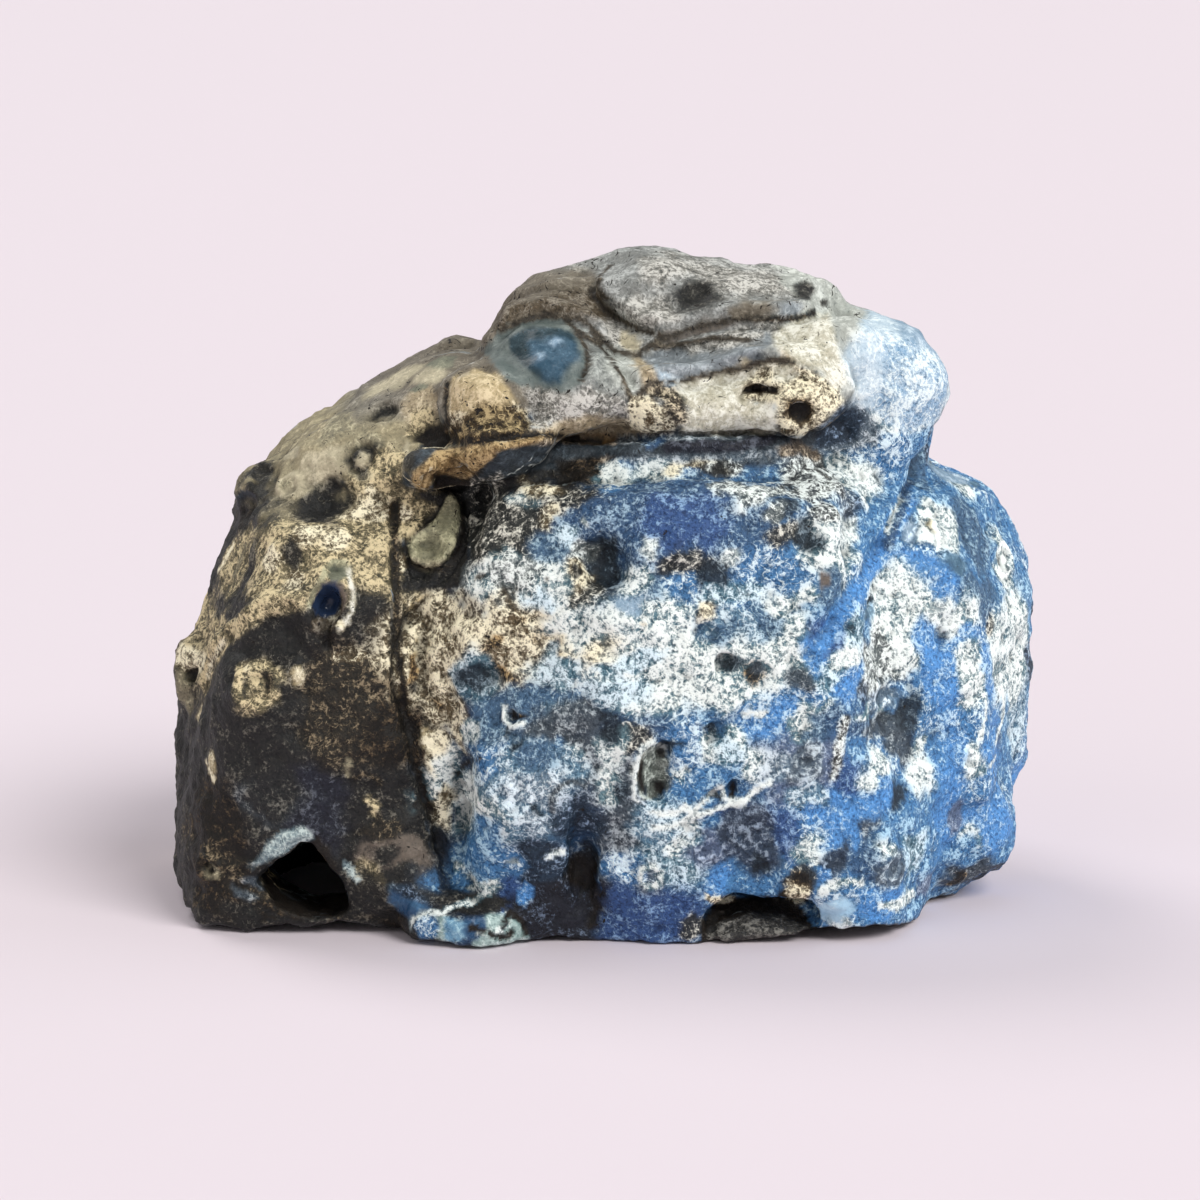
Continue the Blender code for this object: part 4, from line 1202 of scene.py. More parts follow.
# %% Patches on the right face
RIGHT_PATCHES = [
    ("salted_blue", (860, 500, 905, 600), (900, 450, 960, 560), (985, 500, 1030, 548)),
    ("slate_blue", (950, 490, 992, 578), (902, 440, 926, 500, 10)),
    ("white_lace", (915, 497, 938, 520), (942, 500, 960, 540, 10), (984, 534, 1022, 588)),
    ("bright_blue", (920, 600, 980, 700), (925, 690, 1030, 870)),
    ("thin_lace", (850, 438, 912, 462), (980, 780, 1010, 840)),
    ("salted_blue", (1000, 536, 1020, 550), (880, 800, 940, 840)),
    ("white_lace", (972, 608, 1034, 704)),
    ("pale_lace", (1000, 640, 1036, 760), (1004, 584, 1034, 626)),
    ("white_lace", (1004, 588, 1032, 628), (1002, 640, 1024, 712), (1002, 606, 1032, 684)),
    ("teal_deep", (918, 446, 944, 484)),
    ("sky_smooth", (930, 458, 962, 494)),
    ("white_lace", (952, 478, 974, 500)),
    ("teal_deep", (968, 478, 984, 494)),
    ("slate_blue", (900, 503, 922, 548)),
    ("sky_smooth", (904, 512, 916, 542)),
    ("white_lace", (920, 506, 962, 556)),
    ("olive_grey", (931, 518, 942, 537)),
    ("white_solid", (992, 550, 1012, 578)),
    ("thin_lace", (900, 540, 942, 576)),
    ("white_lace", (932, 556, 950, 586)),
    ("teal_deep", (942, 554, 974, 582)),
    ("bright_blue", (874, 550, 936, 580, 15), (900, 562, 960, 600, 25), (1003, 748, 1026, 800)),
    ("slate_blue", (956, 576, 1006, 616)),
    ("white_lace", (856, 566, 930, 640)),
    ("white_solid", (884, 574, 904, 592)),
    ("dark_teal", (865, 596, 876, 610)),
    ("teal_deep", (860, 606, 879, 624)),
    ("teal_lace", (834, 604, 864, 654)),
    ("dark_teal", (844, 620, 853, 632)),
    ("white_lace", (884, 588, 930, 634)),
    ("speckled_white", (862, 624, 906, 684)),
    ("grey_lace", (850, 640, 900, 690)),
    ("bright_blue", (836, 655, 862, 696), (800, 634, 838, 668)),
    ("white_lace", (886, 620, 924, 668)),
    ("royal", (806, 610, 834, 662)),
    ("white_lace", (826, 648, 860, 672, -20)),
    ("teal_lace", (812, 664, 838, 694)),
    ("slate_mottle", (790, 668, 814, 694)),
    ("white_solid", (926, 600, 954, 634)),
    ("white_lace", (950, 596, 982, 626)),
    ("bright_blue", (916, 618, 936, 698), (950, 626, 980, 672)),
    ("charcoal_salt", (980, 612, 1000, 632)),
    ("dark_teal", (934, 630, 944, 645)),
    ("white_solid", (940, 616, 954, 646)),
    ("white_lace", (962, 640, 992, 708, -20)),
    ("bright_blue", (978, 645, 1000, 700, -20), (924, 652, 964, 706)),
    ("white_lace", (956, 664, 986, 712)),
    ("thin_lace", (955, 700, 1006, 745)),
    ("white_lace", (960, 744, 992, 786)),
    ("thin_lace", (950, 780, 1000, 812)),
    ("lavender_mottle", (944, 796, 966, 832)),
    ("white_lace", (956, 826, 982, 866)),
    ("slate_mottle", (940, 852, 990, 890)),
    ("brown_spot", (948, 872, 966, 888)),
    ("bright_blue", (985, 790, 1024, 850)),
    ("salted_blue", (935, 838, 985, 870)),
]
print("right, rows of patches:", len(RIGHT_PATCHES))

# %% [markdown]
# ## Laying the patches
# Each patch is an ellipse with a ragged edge. Afterwards every point's cover and specks are drawn
# toward those of its neighbours, so that salt thins out softly round a patch, while its colours stay.

# %% Lay the patches
SALT_PASSES = 12
PATCH_STRENGTH = 0.95
PATCH_FRAY = 0.6
PIXELS_TO_MM = 8.6  # pixels of the picture to a millimetre on the front face
PATCHES = CAP_PATCHES + LEFT_PATCHES + FRONT_PATCHES + RIGHT_PATCHES


def drawn_together(values, passes):
    """Values on the points after each is drawn to its neighbours again and again."""
    ends = np.empty(len(stone.data.edges) * 2, dtype=np.int32)
    stone.data.edges.foreach_get("vertices", ends)
    first, second = ends.reshape(-1, 2).T
    count = np.bincount(first, minlength=len(values)) + np.bincount(second, minlength=len(values))
    eased = values.copy()
    for _ in range(passes):
        for axis in range(values.shape[1]):
            sums = np.bincount(first, eased[second, axis], len(values))
            sums += np.bincount(second, eased[first, axis], len(values))
            eased[:, axis] = 0.5 * eased[:, axis] + 0.5 * sums / count
    return eased


def patch_size(pixels):
    """A length in the picture as millimetres, to a tenth, or from ten up to a whole one."""
    size = pixels / PIXELS_TO_MM
    return round(size, 1) if size < 10 else round(size)


def lay_patch(finish, left, top, right, bottom, slant=0):
    """One ragged patch of a finish, as large as its box."""
    place = sight(round((left + right) / 2), round((top + bottom) / 2))
    near, share = spread(swirled, place, patch_size(right - left), patch_size(bottom - top), slant)
    share = share + PATCH_FRAY * ragged(clay.points[near])
    seen = clay.facing[near] @ place[1] > -0.1  # a patch doesn't reach through a thin edge
    paint.lay(finish, near, fade(share, 0.5) * seen * PATCH_STRENGTH)


for finish, *places in PATCHES:
    for place in places:
        lay_patch(finish, *place)
paint.values[:, SALT] = drawn_together(paint.values[:, SALT], SALT_PASSES)
print("patches:", sum(len(row) - 1 for row in PATCHES))

# %% [markdown]
# ## Marks with a drawn edge
# Glass in a broken rim, a flake and the pale slope of a ledge end at a clear edge, not in lace. Each is
# a closed outline in the picture, a finish and the width of the edge in millimetres. Discs in which
# silica grew ring by ring get rings of thicker and thinner crust.

# %% Drawn marks of the cap
CAP_MARKS = [
    # finish, width of the edge, outline
    ("speckled_warm", 1.5, [(489, 336), (500, 306), (538, 280), (592, 272), (603, 294), (624, 316),
        (606, 322), (568, 316), (540, 314), (514, 320), (498, 330)]),
    ("warm_smooth", 1.5, [(512, 292), (538, 276), (592, 268), (600, 288), (560, 294), (530, 300)]),
    ("cool_smooth", 1.5, [(600, 274), (614, 250), (657, 240), (722, 258), (781, 258), (830, 274),
        (838, 294), (830, 307), (803, 310), (776, 319), (722, 319), (673, 332), (646, 341), (624, 328),
        (606, 300)]),
    ("speckled_pale", 1.9, [(640, 262), (670, 252), (720, 264), (790, 270), (826, 284), (820, 300),
        (780, 296), (720, 294), (690, 276), (660, 286), (642, 280)]),
    ("pale_smooth", 1.5, [(770, 262), (800, 262), (836, 280), (842, 296), (830, 308), (806, 306),
        (786, 288)]),
    ("dark_stain", 0.6, [(793, 286), (802, 282), (814, 284), (818, 292), (808, 299), (797, 298)]),
    ("dark_stain", 0.4, [(818, 300), (826, 298), (830, 304), (822, 307)]),
    ("speckled_pale", 1.6, [(612, 300), (640, 296), (668, 300), (680, 318), (650, 334), (626, 322)]),
    ("dark_stain", 1.5, [(668, 292), (688, 280), (712, 284), (720, 300), (704, 314), (680, 312)]),
    ("warm_smooth", 0.9, [(728, 308), (745, 301), (772, 301), (780, 310), (762, 319), (734, 320)]),
    ("slate_smooth", 0.9, [(778, 304), (794, 300), (805, 305), (798, 315), (780, 319)]),
    ("rim_grey", 0.6, [(484, 350), (496, 334), (514, 322), (540, 316), (566, 320), (584, 336), (590, 358),
        (582, 382), (566, 394), (548, 392), (524, 388), (508, 380), (494, 366)]),
    ("ripple_grey", 0.9, [(576, 328), (592, 336), (608, 346), (630, 356), (636, 376), (640, 396),
        (616, 396), (600, 390), (588, 376), (592, 352)]),
    ("glassy_teal", 0.5, [(508, 337), (526, 328), (560, 326), (575, 338), (579, 354), (570, 367),
        (562, 374), (561, 384), (547, 382), (532, 373), (517, 361), (508, 349)]),
    ("blue_glass", 1.7, [(530, 344), (556, 336), (575, 344), (578, 358), (567, 368), (560, 382),
        (547, 380), (533, 366)]),
    # painted highlights: two small pale spots on the glassy dome
    ("sky_smooth", 0.8, [(548, 343), (556, 339), (562, 342), (556, 349)]),
    ("sky_smooth", 0.5, [(538, 355), (543, 354), (543, 359), (539, 360)]),
    ("slate_smooth", 1.1, [(640, 356), (673, 345), (732, 327), (770, 328), (776, 342), (754, 358),
        (730, 370), (700, 378), (680, 382), (655, 372)]),
    ("speckled_pale", 1.1, [(672, 346), (700, 336), (740, 328), (768, 330), (760, 344), (720, 350),
        (690, 356)]),
    ("tan_smooth", 0.8, [(622, 362), (640, 358), (655, 370), (664, 386), (650, 393), (636, 384)]),
    ("milky", 0.8, [(656, 366), (670, 374), (682, 384), (668, 390), (658, 380)]),
    ("pale_smooth", 0.8, [(604, 350), (622, 352), (638, 368), (642, 388), (632, 394), (616, 388),
        (606, 370)]),
    ("speckled_pale", 1.1, [(524, 386), (550, 393), (570, 396), (590, 386), (604, 392), (628, 398),
        (630, 420), (600, 424), (560, 424), (534, 430), (528, 410)]),
    ("tan_smooth", 1.1, [(562, 422), (600, 416), (628, 420), (624, 437), (590, 441), (556, 438)]),
    ("cream_smooth", 0.9, [(680, 384), (700, 377), (735, 371), (770, 361), (778, 372), (744, 384),
        (742, 400), (770, 402), (778, 420), (776, 436), (700, 436), (684, 430), (690, 408), (676, 396)]),
    ("speckled_cream", 0.9, [(628, 396), (650, 394), (664, 408), (674, 426), (662, 436), (630, 436)]),
    ("pepper", 0.9, [(652, 380), (668, 386), (684, 398), (684, 420), (674, 420), (664, 404), (650, 392)]),
    ("speckled_cream", 0.9, [(744, 384), (758, 370), (790, 362), (820, 372), (838, 390), (842, 404),
        (826, 420), (810, 436), (780, 436), (776, 402), (744, 398)]),
    ("cream_smooth", 1.1, [(772, 332), (800, 318), (830, 312), (836, 330), (842, 350), (850, 376),
        (840, 388), (820, 372), (790, 361), (776, 348)]),
    ("cream_smooth", 0.8, [(772, 366), (786, 364), (798, 374), (786, 382), (774, 378)]),
    # painted shade: the slit cut by a stroke is filled black
    ("black", 0.25, [(742, 388), (756, 384), (778, 387), (777, 394), (758, 392), (744, 394)]),
    ("brown_spot", 0.8, [(786, 399), (804, 396), (815, 404), (813, 420), (800, 425), (788, 418)]),
    ("milky", 1.3, [(836, 318), (852, 306), (880, 304), (904, 314), (912, 330), (904, 352), (914, 374),
        (942, 382), (948, 400), (932, 424), (906, 432), (880, 420), (862, 402), (850, 378), (842, 350)]),
    ("pale_smooth", 1.5, [(830, 314), (850, 302), (866, 308), (854, 342), (842, 350)]),
    ("sky_smooth", 1.5, [(894, 316), (914, 322), (934, 342), (950, 364), (948, 378), (928, 372),
        (908, 354)]),
    ("bump_lace", 1.6, [(884, 342), (908, 342), (936, 352), (952, 372), (950, 400), (934, 426),
        (904, 434), (882, 422), (872, 400), (888, 372)]),
]
print("drawn marks of the cap:", len(CAP_MARKS))

# %% Drawn marks under the cap
MIDDLE_MARKS = [
    # the dark groove under the cap
    ("tan_smooth", 0.8, [(524, 428), (560, 422), (600, 424), (640, 430), (640, 442), (600, 444),
        (556, 446), (524, 444)]),
    ("groove_slate", 0.8, [(614, 438), (660, 435), (700, 436), (776, 437), (812, 438), (836, 414),
        (852, 402), (868, 410), (884, 426), (876, 446), (826, 452), (780, 460), (700, 460), (640, 462),
        (614, 460)]),
    ("navy", 0.7, [(800, 440), (826, 424), (842, 408), (856, 406), (866, 420), (858, 440), (820, 448)]),
    ("groove_brown", 0.6, [(538, 438), (570, 440), (614, 438), (622, 456), (600, 464), (556, 462),
        (538, 452)]),
    ("ochre_smooth", 0.4, [(584, 434), (604, 434), (616, 438), (606, 443), (588, 442)]),
    # the cream knob
    ("speckled_cream", 0.5, [(449, 400), (480, 398), (511, 396), (527, 413), (531, 430), (512, 440),
        (495, 443), (462, 444), (451, 434)]),
    ("peach_smooth", 0.7, [(449, 397), (454, 378), (473, 369), (495, 372), (511, 391), (520, 404),
        (500, 412), (474, 408), (452, 412)]),
    # partly painted shade: the knob's lower half is darker, partly for brown specks and partly for the
    # shade under it
    ("dark_knob", 1.1, [(474, 412), (490, 402), (510, 400), (524, 412), (531, 430), (512, 442),
        (480, 446), (456, 444), (450, 432), (460, 424)]),
    # painted shadow: dark slate and black at the knob's lower left, where its shadow falls
    ("slate_dark", 0.5, [(415, 452), (424, 442), (446, 430), (450, 444), (436, 450), (422, 463),
        (413, 468)]),
    ("black", 0.3, [(426, 428), (446, 422), (450, 442), (440, 450), (424, 446)]),
    # the ledge and the flake under it
    ("olive_mottle", 0.8, [(402, 488), (430, 492), (438, 506), (424, 522), (408, 542), (396, 532),
        (396, 500)]),
    ("charcoal", 0.6, [(420, 494), (440, 492), (470, 478), (480, 486), (470, 520), (468, 560), (458, 588),
        (404, 590), (404, 568), (412, 546), (440, 506)]),
    ("slate_dark", 0.5, [(484, 466), (503, 450), (530, 446), (556, 444), (558, 470), (530, 472),
        (500, 478), (478, 492), (470, 490)]),
    ("brown_black", 0.5, [(556, 444), (600, 446), (600, 474), (575, 480), (558, 472)]),
    ("charcoal_salt", 0.8, [(464, 484), (500, 472), (508, 510), (492, 548), (472, 558), (463, 530)]),
    ("ledge_cream", 0.3, [(411, 483), (413, 472), (421, 465), (436, 451), (455, 447), (491, 443),
        (515, 439), (539, 435), (549, 439), (529, 445), (500, 451), (486, 465), (467, 480), (448, 475),
        (434, 476), (427, 489), (418, 489)]),
    # painted shadow: the band under the ledge is painted black
    ("black", 0.3, [(434, 476), (448, 476), (458, 480), (469, 480), (470, 488), (452, 492), (434, 491)]),
    ("speckled_cream", 0.3, [(394, 498), (404, 504), (414, 512), (412, 520), (400, 522), (394, 514)]),
    ("fin_green", 0.2, FIN),
    ("olive_grey", 0.5, [(412, 556), (424, 560), (440, 560), (436, 570), (420, 570), (410, 564)]),
    ("cream_lace", 0.3, [(395, 555), (405, 553), (408, 562), (404, 572), (395, 575)]),
    # the glass eye
    ("grey_green", 0.3, [(330, 565), (340, 562), (347, 566), (347, 576), (338, 581), (328, 578)]),
    ("eye_glass", 0.25, [(324, 582), (335, 581), (340, 589), (341, 602), (337, 614), (325, 617),
        (316, 614), (312, 606), (315, 597), (320, 589)]),
    ("speckled_warm", 0.3, [(311, 621), (322, 619), (335, 622), (334, 630), (320, 632), (312, 628)]),
    ("black", 0.3, [(319, 631), (336, 630), (342, 634), (332, 639), (321, 637)]),
    # the lens scar
    ("lens_grey", 0.25, [(652, 744), (645, 750), (640, 764), (638, 782), (640, 798), (650, 800),
        (662, 796), (666, 780), (668, 762), (664, 748)]),
    ("black", 0.25, [(658, 747), (664, 747), (665, 756), (660, 760), (657, 754)]),
    ("black", 0.25, [(653, 782), (662, 780), (665, 788), (662, 795), (654, 793)]),
    ("dark_teal", 0.25, [(642, 786), (647, 786), (647, 796), (642, 795)]),
]
print("drawn marks under the cap:", len(MIDDLE_MARKS))

# %% Drawn marks of the foot
FOOT_MARKS = [
    # the opening in the left foot, its inside painted black as painted shade
    ("black", 0.6, [(262, 880), (272, 868), (290, 858), (306, 844), (318, 836), (330, 850), (340, 880),
        (350, 904), (332, 916), (300, 920), (276, 908), (262, 894)]),
    ("lip_pale", 0.35, [(246, 868), (258, 858), (264, 846), (275, 836), (290, 828), (300, 824),
        (308, 830), (314, 839), (304, 843), (290, 852), (276, 858), (262, 864)]),
    ("slate_mottle", 0.6, [(232, 884), (250, 876), (262, 880), (264, 894), (250, 900), (236, 896)]),
    # the notch in the foot, the gap under its crust painted black as painted shadow
    ("black", 0.4, [(700, 936), (702, 920), (712, 906), (724, 898), (745, 896), (776, 895), (784, 889),
        (796, 902), (806, 912), (815, 925), (812, 946), (704, 950)]),
    ("flap_grey", 0.35, [(706, 940), (709, 930), (720, 921), (734, 917), (750, 911), (768, 914),
        (782, 913), (794, 921), (808, 926), (802, 938), (799, 950), (757, 950), (716, 948)]),
    ("speckled_cream", 0.3, [(704, 892), (718, 896), (736, 896), (735, 903), (714, 904), (704, 900)]),
    ("speckled_cream", 0.5, [(786, 880), (802, 876), (812, 886), (808, 900), (796, 904), (784, 894)]),
    ("brown_spot", 0.5, [(790, 872), (806, 872), (814, 884), (804, 886), (792, 882)]),
    # agate on the broken rim of the foot
    ("ink", 0.8, [(526, 884), (560, 878), (590, 890), (588, 938), (553, 936), (526, 940), (508, 922),
        (512, 900)]),
    ("charcoal", 0.5, [(436, 898), (480, 892), (512, 900), (500, 914), (470, 916), (440, 910)]),
    ("deep_glass", 0.4, [(390, 892), (408, 898), (430, 906), (432, 914), (414, 922), (400, 912),
        (388, 902)]),
    ("thin_lace", 0.4, [(412, 926), (420, 916), (436, 916), (440, 928), (436, 940), (420, 940)]),
    ("mint_glass", 0.3, [(438, 917), (447, 917), (448, 941), (438, 940)]),
    ("sky_glass", 0.4, [(445, 918), (464, 920), (466, 936), (460, 942), (446, 941)]),
    ("deep_glass", 0.5, [(463, 918), (486, 918), (487, 930), (474, 940), (464, 938)]),
    ("mint_glass", 0.4, [(486, 914), (508, 912), (522, 924), (528, 938), (512, 950), (476, 954),
        (472, 942), (486, 932)]),
    ("bright_blue", 0.3, [(518, 890), (526, 882), (534, 886), (533, 898), (524, 908), (516, 902)]),
]
print("drawn marks of the foot:", len(FOOT_MARKS))

# %% Lay the drawn marks and the rings
RINGED = [
    # place in the picture, width and height in mm, number of rings, strength
    (757, 838, 7.4, 5.6, 3, 0.22),
    (803, 762, 6.0, 4.6, 3, 0.20),
    (708, 846, 3.6, 3.6, 2, 0.22),
    (650, 877, 3.4, 3.2, 2, 0.26),
    (833, 862, 3.4, 4.0, 2, 0.22),
    (893, 866, 4.0, 3.8, 2, 0.22),
    (880, 698, 5.0, 4.2, 2, 0.22),
    (608, 866, 3.0, 4.0, 2, 0.22),
    (1002, 560, 3.6, 4.6, 2, -0.25),
    (968, 762, 3.2, 3.6, 2, -0.25),
    (926, 530, 5.6, 6.0, 2, -0.25),
    (500, 792, 9.0, 9.0, 3, 0.14),
]
MARK_FRAY = 2.2
RING_TONE = 1.3  # how much more the colours change than the cover does


def draw_mark(finish, edge, outline):
    """Fills an outline with a finish; the thinner its edge, the less ragged it is."""
    near, depth = within(clay.points, clay.facing, outline)
    depth = depth + MARK_FRAY * min(edge, 1) * ragged(clay.points[near])
    paint.lay(finish, near, ramp(depth, -edge / 2, edge / 2))


def lay_rings(u, v, width, height, count, strength):
    """Rings of thicker and thinner crust round a middle, on the finish that is there."""
    near, share = spread(swirled, sight(u, v), width, height)
    waves = strength * np.cos(share * count * 2 * math.pi) * fade(share, 0.3)
    paint.values[near, COVER] += waves
    paint.values[near, COLOURS] *= (1 + RING_TONE * waves)[:, None]


for mark in CAP_MARKS + MIDDLE_MARKS + FOOT_MARKS:
    draw_mark(*mark)
for disc in RINGED:
    lay_rings(*disc)
print("ringed discs:", len(RINGED))

# %% [markdown]
# ## Lines of colour
# Seams, veins and dark creases are laid as lines: a finish, a width in millimetres and the places that
# the line passes through.

# %% Lines
THIN = 0.75  # mm, as thin as the mesh can hold a line
LINES = [
    # finish, width, places that the line passes through
    # the crease under the cap
    # painted shade: a dark slate line along the bottom of the groove under the cap
    ("slate_dark", 1.9, [(560, 452), (600, 450), (640, 448), (700, 447), (760, 444), (810, 438)]),
    ("salted_deep", 1, [(640, 437), (650, 445), (662, 440)]),
    ("violet_dark", 1.6, [(670, 446), (740, 446), (770, 438)]),
    ("groove_brown", 1.4, [(783, 452), (798, 448), (815, 456)]),
    ("brown_spot", 0.9, [(450, 442), (500, 438), (540, 435), (600, 440)]),
    # painted shadow: a thin dark line along the knob's left edge
    ("brown_black", THIN, [(447, 384), (446, 406), (447, 436)]),
    ("slate_dark", 1.2, [(512, 472), (530, 466), (545, 456), (558, 444)]),
    ("black", 1.6, [(420, 440), (448, 442)]),
    # painted shade: dark lines along the cap's folds
    ("crease_grey", THIN, [(500, 332), (520, 321), (550, 315), (580, 319), (592, 328), (602, 340)]),
    ("crease_grey", THIN, [(600, 280), (592, 292), (604, 309), (622, 320), (640, 330), (664, 336)]),
    ("crease_grey", THIN, [(640, 353), (655, 342), (680, 333), (700, 326), (722, 322), (745, 319),
        (770, 320)]),
    ("brown_black", THIN, [(770, 320), (800, 318), (815, 312)]),
    ("crease_grey", THIN, [(640, 392), (652, 382), (682, 381), (710, 374), (742, 368), (772, 360),
        (792, 362)]),
    ("crease_grey", THIN, [(567, 322), (580, 332), (592, 340), (607, 343), (615, 351), (640, 356)]),
    ("crease_grey", 0.8, [(655, 348), (680, 344), (712, 338), (748, 340)]),
    ("crease_grey", 0.8, [(592, 330), (598, 344), (612, 360), (622, 376), (628, 392)]),
    ("crease_grey", 0.8, [(578, 334), (586, 348), (588, 364), (582, 380)]),
    ("crease_grey", 0.8, [(610, 266), (600, 276), (596, 288), (606, 298)]),
    # the crease left of the front face, with painted shade in the crease and round the flake
    # painted shade: a dark line down the crease
    ("brown_black", 0.9, [(399, 656), (402, 680), (408, 720), (418, 770), (430, 810)]),
    ("earth_mottle", 1, [(396, 505), (395, 560), (397, 600), (398, 650)]),
    # painted shade: dark lines in the crevice right of the flake and under its lower edge
    ("black", THIN, [(463, 503), (463, 530), (459, 552), (450, 565)]),
    ("brown_black", THIN, [(409, 561), (420, 567), (434, 570), (446, 568)]),
    # the left face
    ("olive_mottle", 2.6, [(206, 686), (212, 662), (224, 640), (240, 622), (262, 608), (296, 600)]),
    ("cream_lace", 0.9, [(208, 676), (214, 658), (224, 642)]),
    ("cream_solid", 0.9, [(233, 545), (226, 558), (219, 570)]),
    ("olive_grey", 0.8, [(246, 546), (240, 562), (234, 576)]),
    ("olive_mottle", 1.2, [(240, 668), (237, 680), (238, 698), (248, 706), (262, 703), (276, 695)]),
    ("fin_green", THIN, [(310, 604), (314, 592), (322, 579), (327, 568), (333, 562), (345, 562),
        (349, 570)]),
    ("cream_smooth", THIN, [(349, 570), (350, 581), (354, 595), (352, 611), (345, 624), (340, 630)]),
    ("taupe", THIN, [(341, 585), (344, 598), (342, 611)]),
    ("cream_solid", THIN, [(339, 623), (343, 626)]),
    ("cream_solid", THIN, [(206, 762), (210, 771), (214, 779)]),
    ("olive_grey", THIN, [(349, 761), (347, 768), (348, 775)]),
    ("earth_mottle", THIN, [(354, 778), (363, 773), (374, 777), (381, 784)]),
    ("olive_mottle", THIN, [(368, 800), (377, 805), (373, 813)]),
    # painted highlight: a short glint on the lip of the left foot's opening
    ("lip_pale", 0.9, [(347, 866), (352, 872), (357, 879)]),
    ("earth_mottle", 0.9, [(236, 883), (250, 888), (262, 894), (270, 897)]),
    ("earth_mottle", THIN, [(226, 866), (230, 874), (236, 880)]),
    # the front face
    ("white_solid", THIN, [(549, 857), (555, 853), (564, 852)]),
    ("slate_mottle", THIN, [(586, 785), (572, 781), (560, 786), (552, 797), (553, 812)]),
    ("charcoal", THIN, [(457, 774), (466, 763), (480, 758)]),
    ("white_solid", 0.8, [(505, 708), (504, 718), (511, 726), (522, 724)]),
    ("brown_spot", THIN, [(512, 712), (516, 718), (522, 716)]),
    ("white_lace", THIN, [(468, 888), (482, 885), (496, 882)]),
    ("white_solid", THIN, [(664, 747), (652, 742), (643, 749), (638, 762), (634, 778), (635, 799),
        (642, 804)]),
    ("black", THIN, [(642, 764), (640, 776), (642, 788)]),
    ("white_lace", THIN, [(744, 714), (752, 711), (758, 716), (765, 712)]),
    ("speckled_white", 1.3, [(846, 720), (841, 740), (838, 758), (834, 775)]),
    ("white_lace", THIN, [(820, 890), (832, 883), (846, 881), (862, 883)]),
    ("white_solid", THIN, [(881, 905), (896, 908), (908, 901), (913, 895)]),
    # the right face
    ("bright_blue", 2.2, [(906, 500), (893, 528), (880, 552), (860, 590), (838, 620), (812, 655)]),
    # painted shade: a soft dark blue line in the valley beside the right crease
    ("salted_deep", 1.4, [(909, 482), (902, 505), (895, 525), (888, 545)]),
    ("white_lace", THIN, [(900, 500), (893, 515), (887, 532)]),
    ("white_solid", THIN, [(990, 766), (995, 758)]),
    ("white_lace", 0.9, [(966, 655), (975, 672), (972, 694)]),
    ("white_solid", THIN, [(1003, 690), (1004, 712), (996, 742)]),
    ("white_solid", THIN, [(987, 702), (985, 722), (981, 738)]),
    # bands of agate on the broken rim of the foot
    ("white_solid", THIN, [(410, 927), (414, 919), (423, 914), (434, 912), (444, 914)]),
    ("white_solid", THIN, [(496, 935), (502, 928), (507, 920), (508, 914)]),
    ("white_solid", THIN, [(480, 932), (496, 933), (508, 936)]),
    ("black", THIN, [(470, 928), (484, 931), (496, 937), (508, 938), (512, 932)]),
    ("black", THIN, [(503, 926), (510, 912), (522, 922), (526, 934)]),
    ("white_lace", THIN, [(468, 905), (478, 899), (488, 892), (498, 886)]),
    ("white_lace", THIN, [(446, 910), (456, 906), (466, 902)]),
    ("charcoal", THIN, [(414, 938), (440, 943), (470, 951), (508, 952)]),
    # curls of crust
    ("white_solid", THIN, [(652, 827), (666, 827), (678, 825), (688, 818), (694, 812)]),
    ("white_solid", THIN, [(652, 812), (665, 815), (678, 812), (684, 806), (690, 812)]),
    ("white_solid", THIN, [(691, 814), (704, 801), (714, 791), (722, 787), (725, 799), (735, 801),
        (746, 799), (756, 790)]),
    ("white_solid", THIN, [(756, 790), (763, 786), (769, 783)]),
    ("white_solid", THIN, [(694, 817), (712, 811), (730, 805), (743, 804)]),
    ("dark_teal", THIN, [(716, 795), (720, 800)]),
    ("black", 0.8, [(733, 785), (732, 794)]),
    ("white_lace", THIN, [(640, 878), (642, 868), (652, 866), (661, 872), (660, 884), (650, 888),
        (642, 884)]),
    ("white_lace", THIN, [(820, 894), (834, 888), (846, 882), (862, 882)]),
    ("white_lace", THIN, [(886, 905), (900, 900), (912, 892)]),
]
print("lines:", len(LINES))

# %% Lay the lines
LINE_FRAY = 0.9


def lay_line(finish, width, places):
    """A line of a finish along the skin."""
    line, facing = trace(places)
    half = width / 2 * MM
    near, gaps, nearest = measure(line, half * 3, clay.points)
    share = gaps / half + LINE_FRAY * ragged(clay.points[near])
    seen = clay.facing[near] @ facing > -0.8
    paint.lay(finish, near, fade(share, 0.7) * seen)


for line in LINES:
    lay_line(*line)
print("mean cover of the crust:", round(float(paint.values[:, COVER].mean()), 2))

# %% [markdown]
# ## The side that faces away
# The back grew in the same water, so it gets the same finishes at random places, drawn with a fixed
# seed: lace and blue on the right, earth on the left, and the cap's own finishes high up.

# %% Patches behind
BEHIND_COUNT = 150
SEED = 17
BEHIND_FINISHES = (
    "white_lace thin_lace salted_blue navy cream_lace grey_lace bright_blue ring_grey white_solid black"
).split()
EARTHY_FINISHES = (
    "olive_mottle earth_mottle cream_lace charcoal slate_mottle speckled_warm brown_black"
).split()
CAP_FINISHES = "cool_smooth speckled_pale warm_smooth".split()
EARTHY_END = -18 * MM  # left of this the back is earthy
CAP_START = 52 * MM  # above this it is the cap

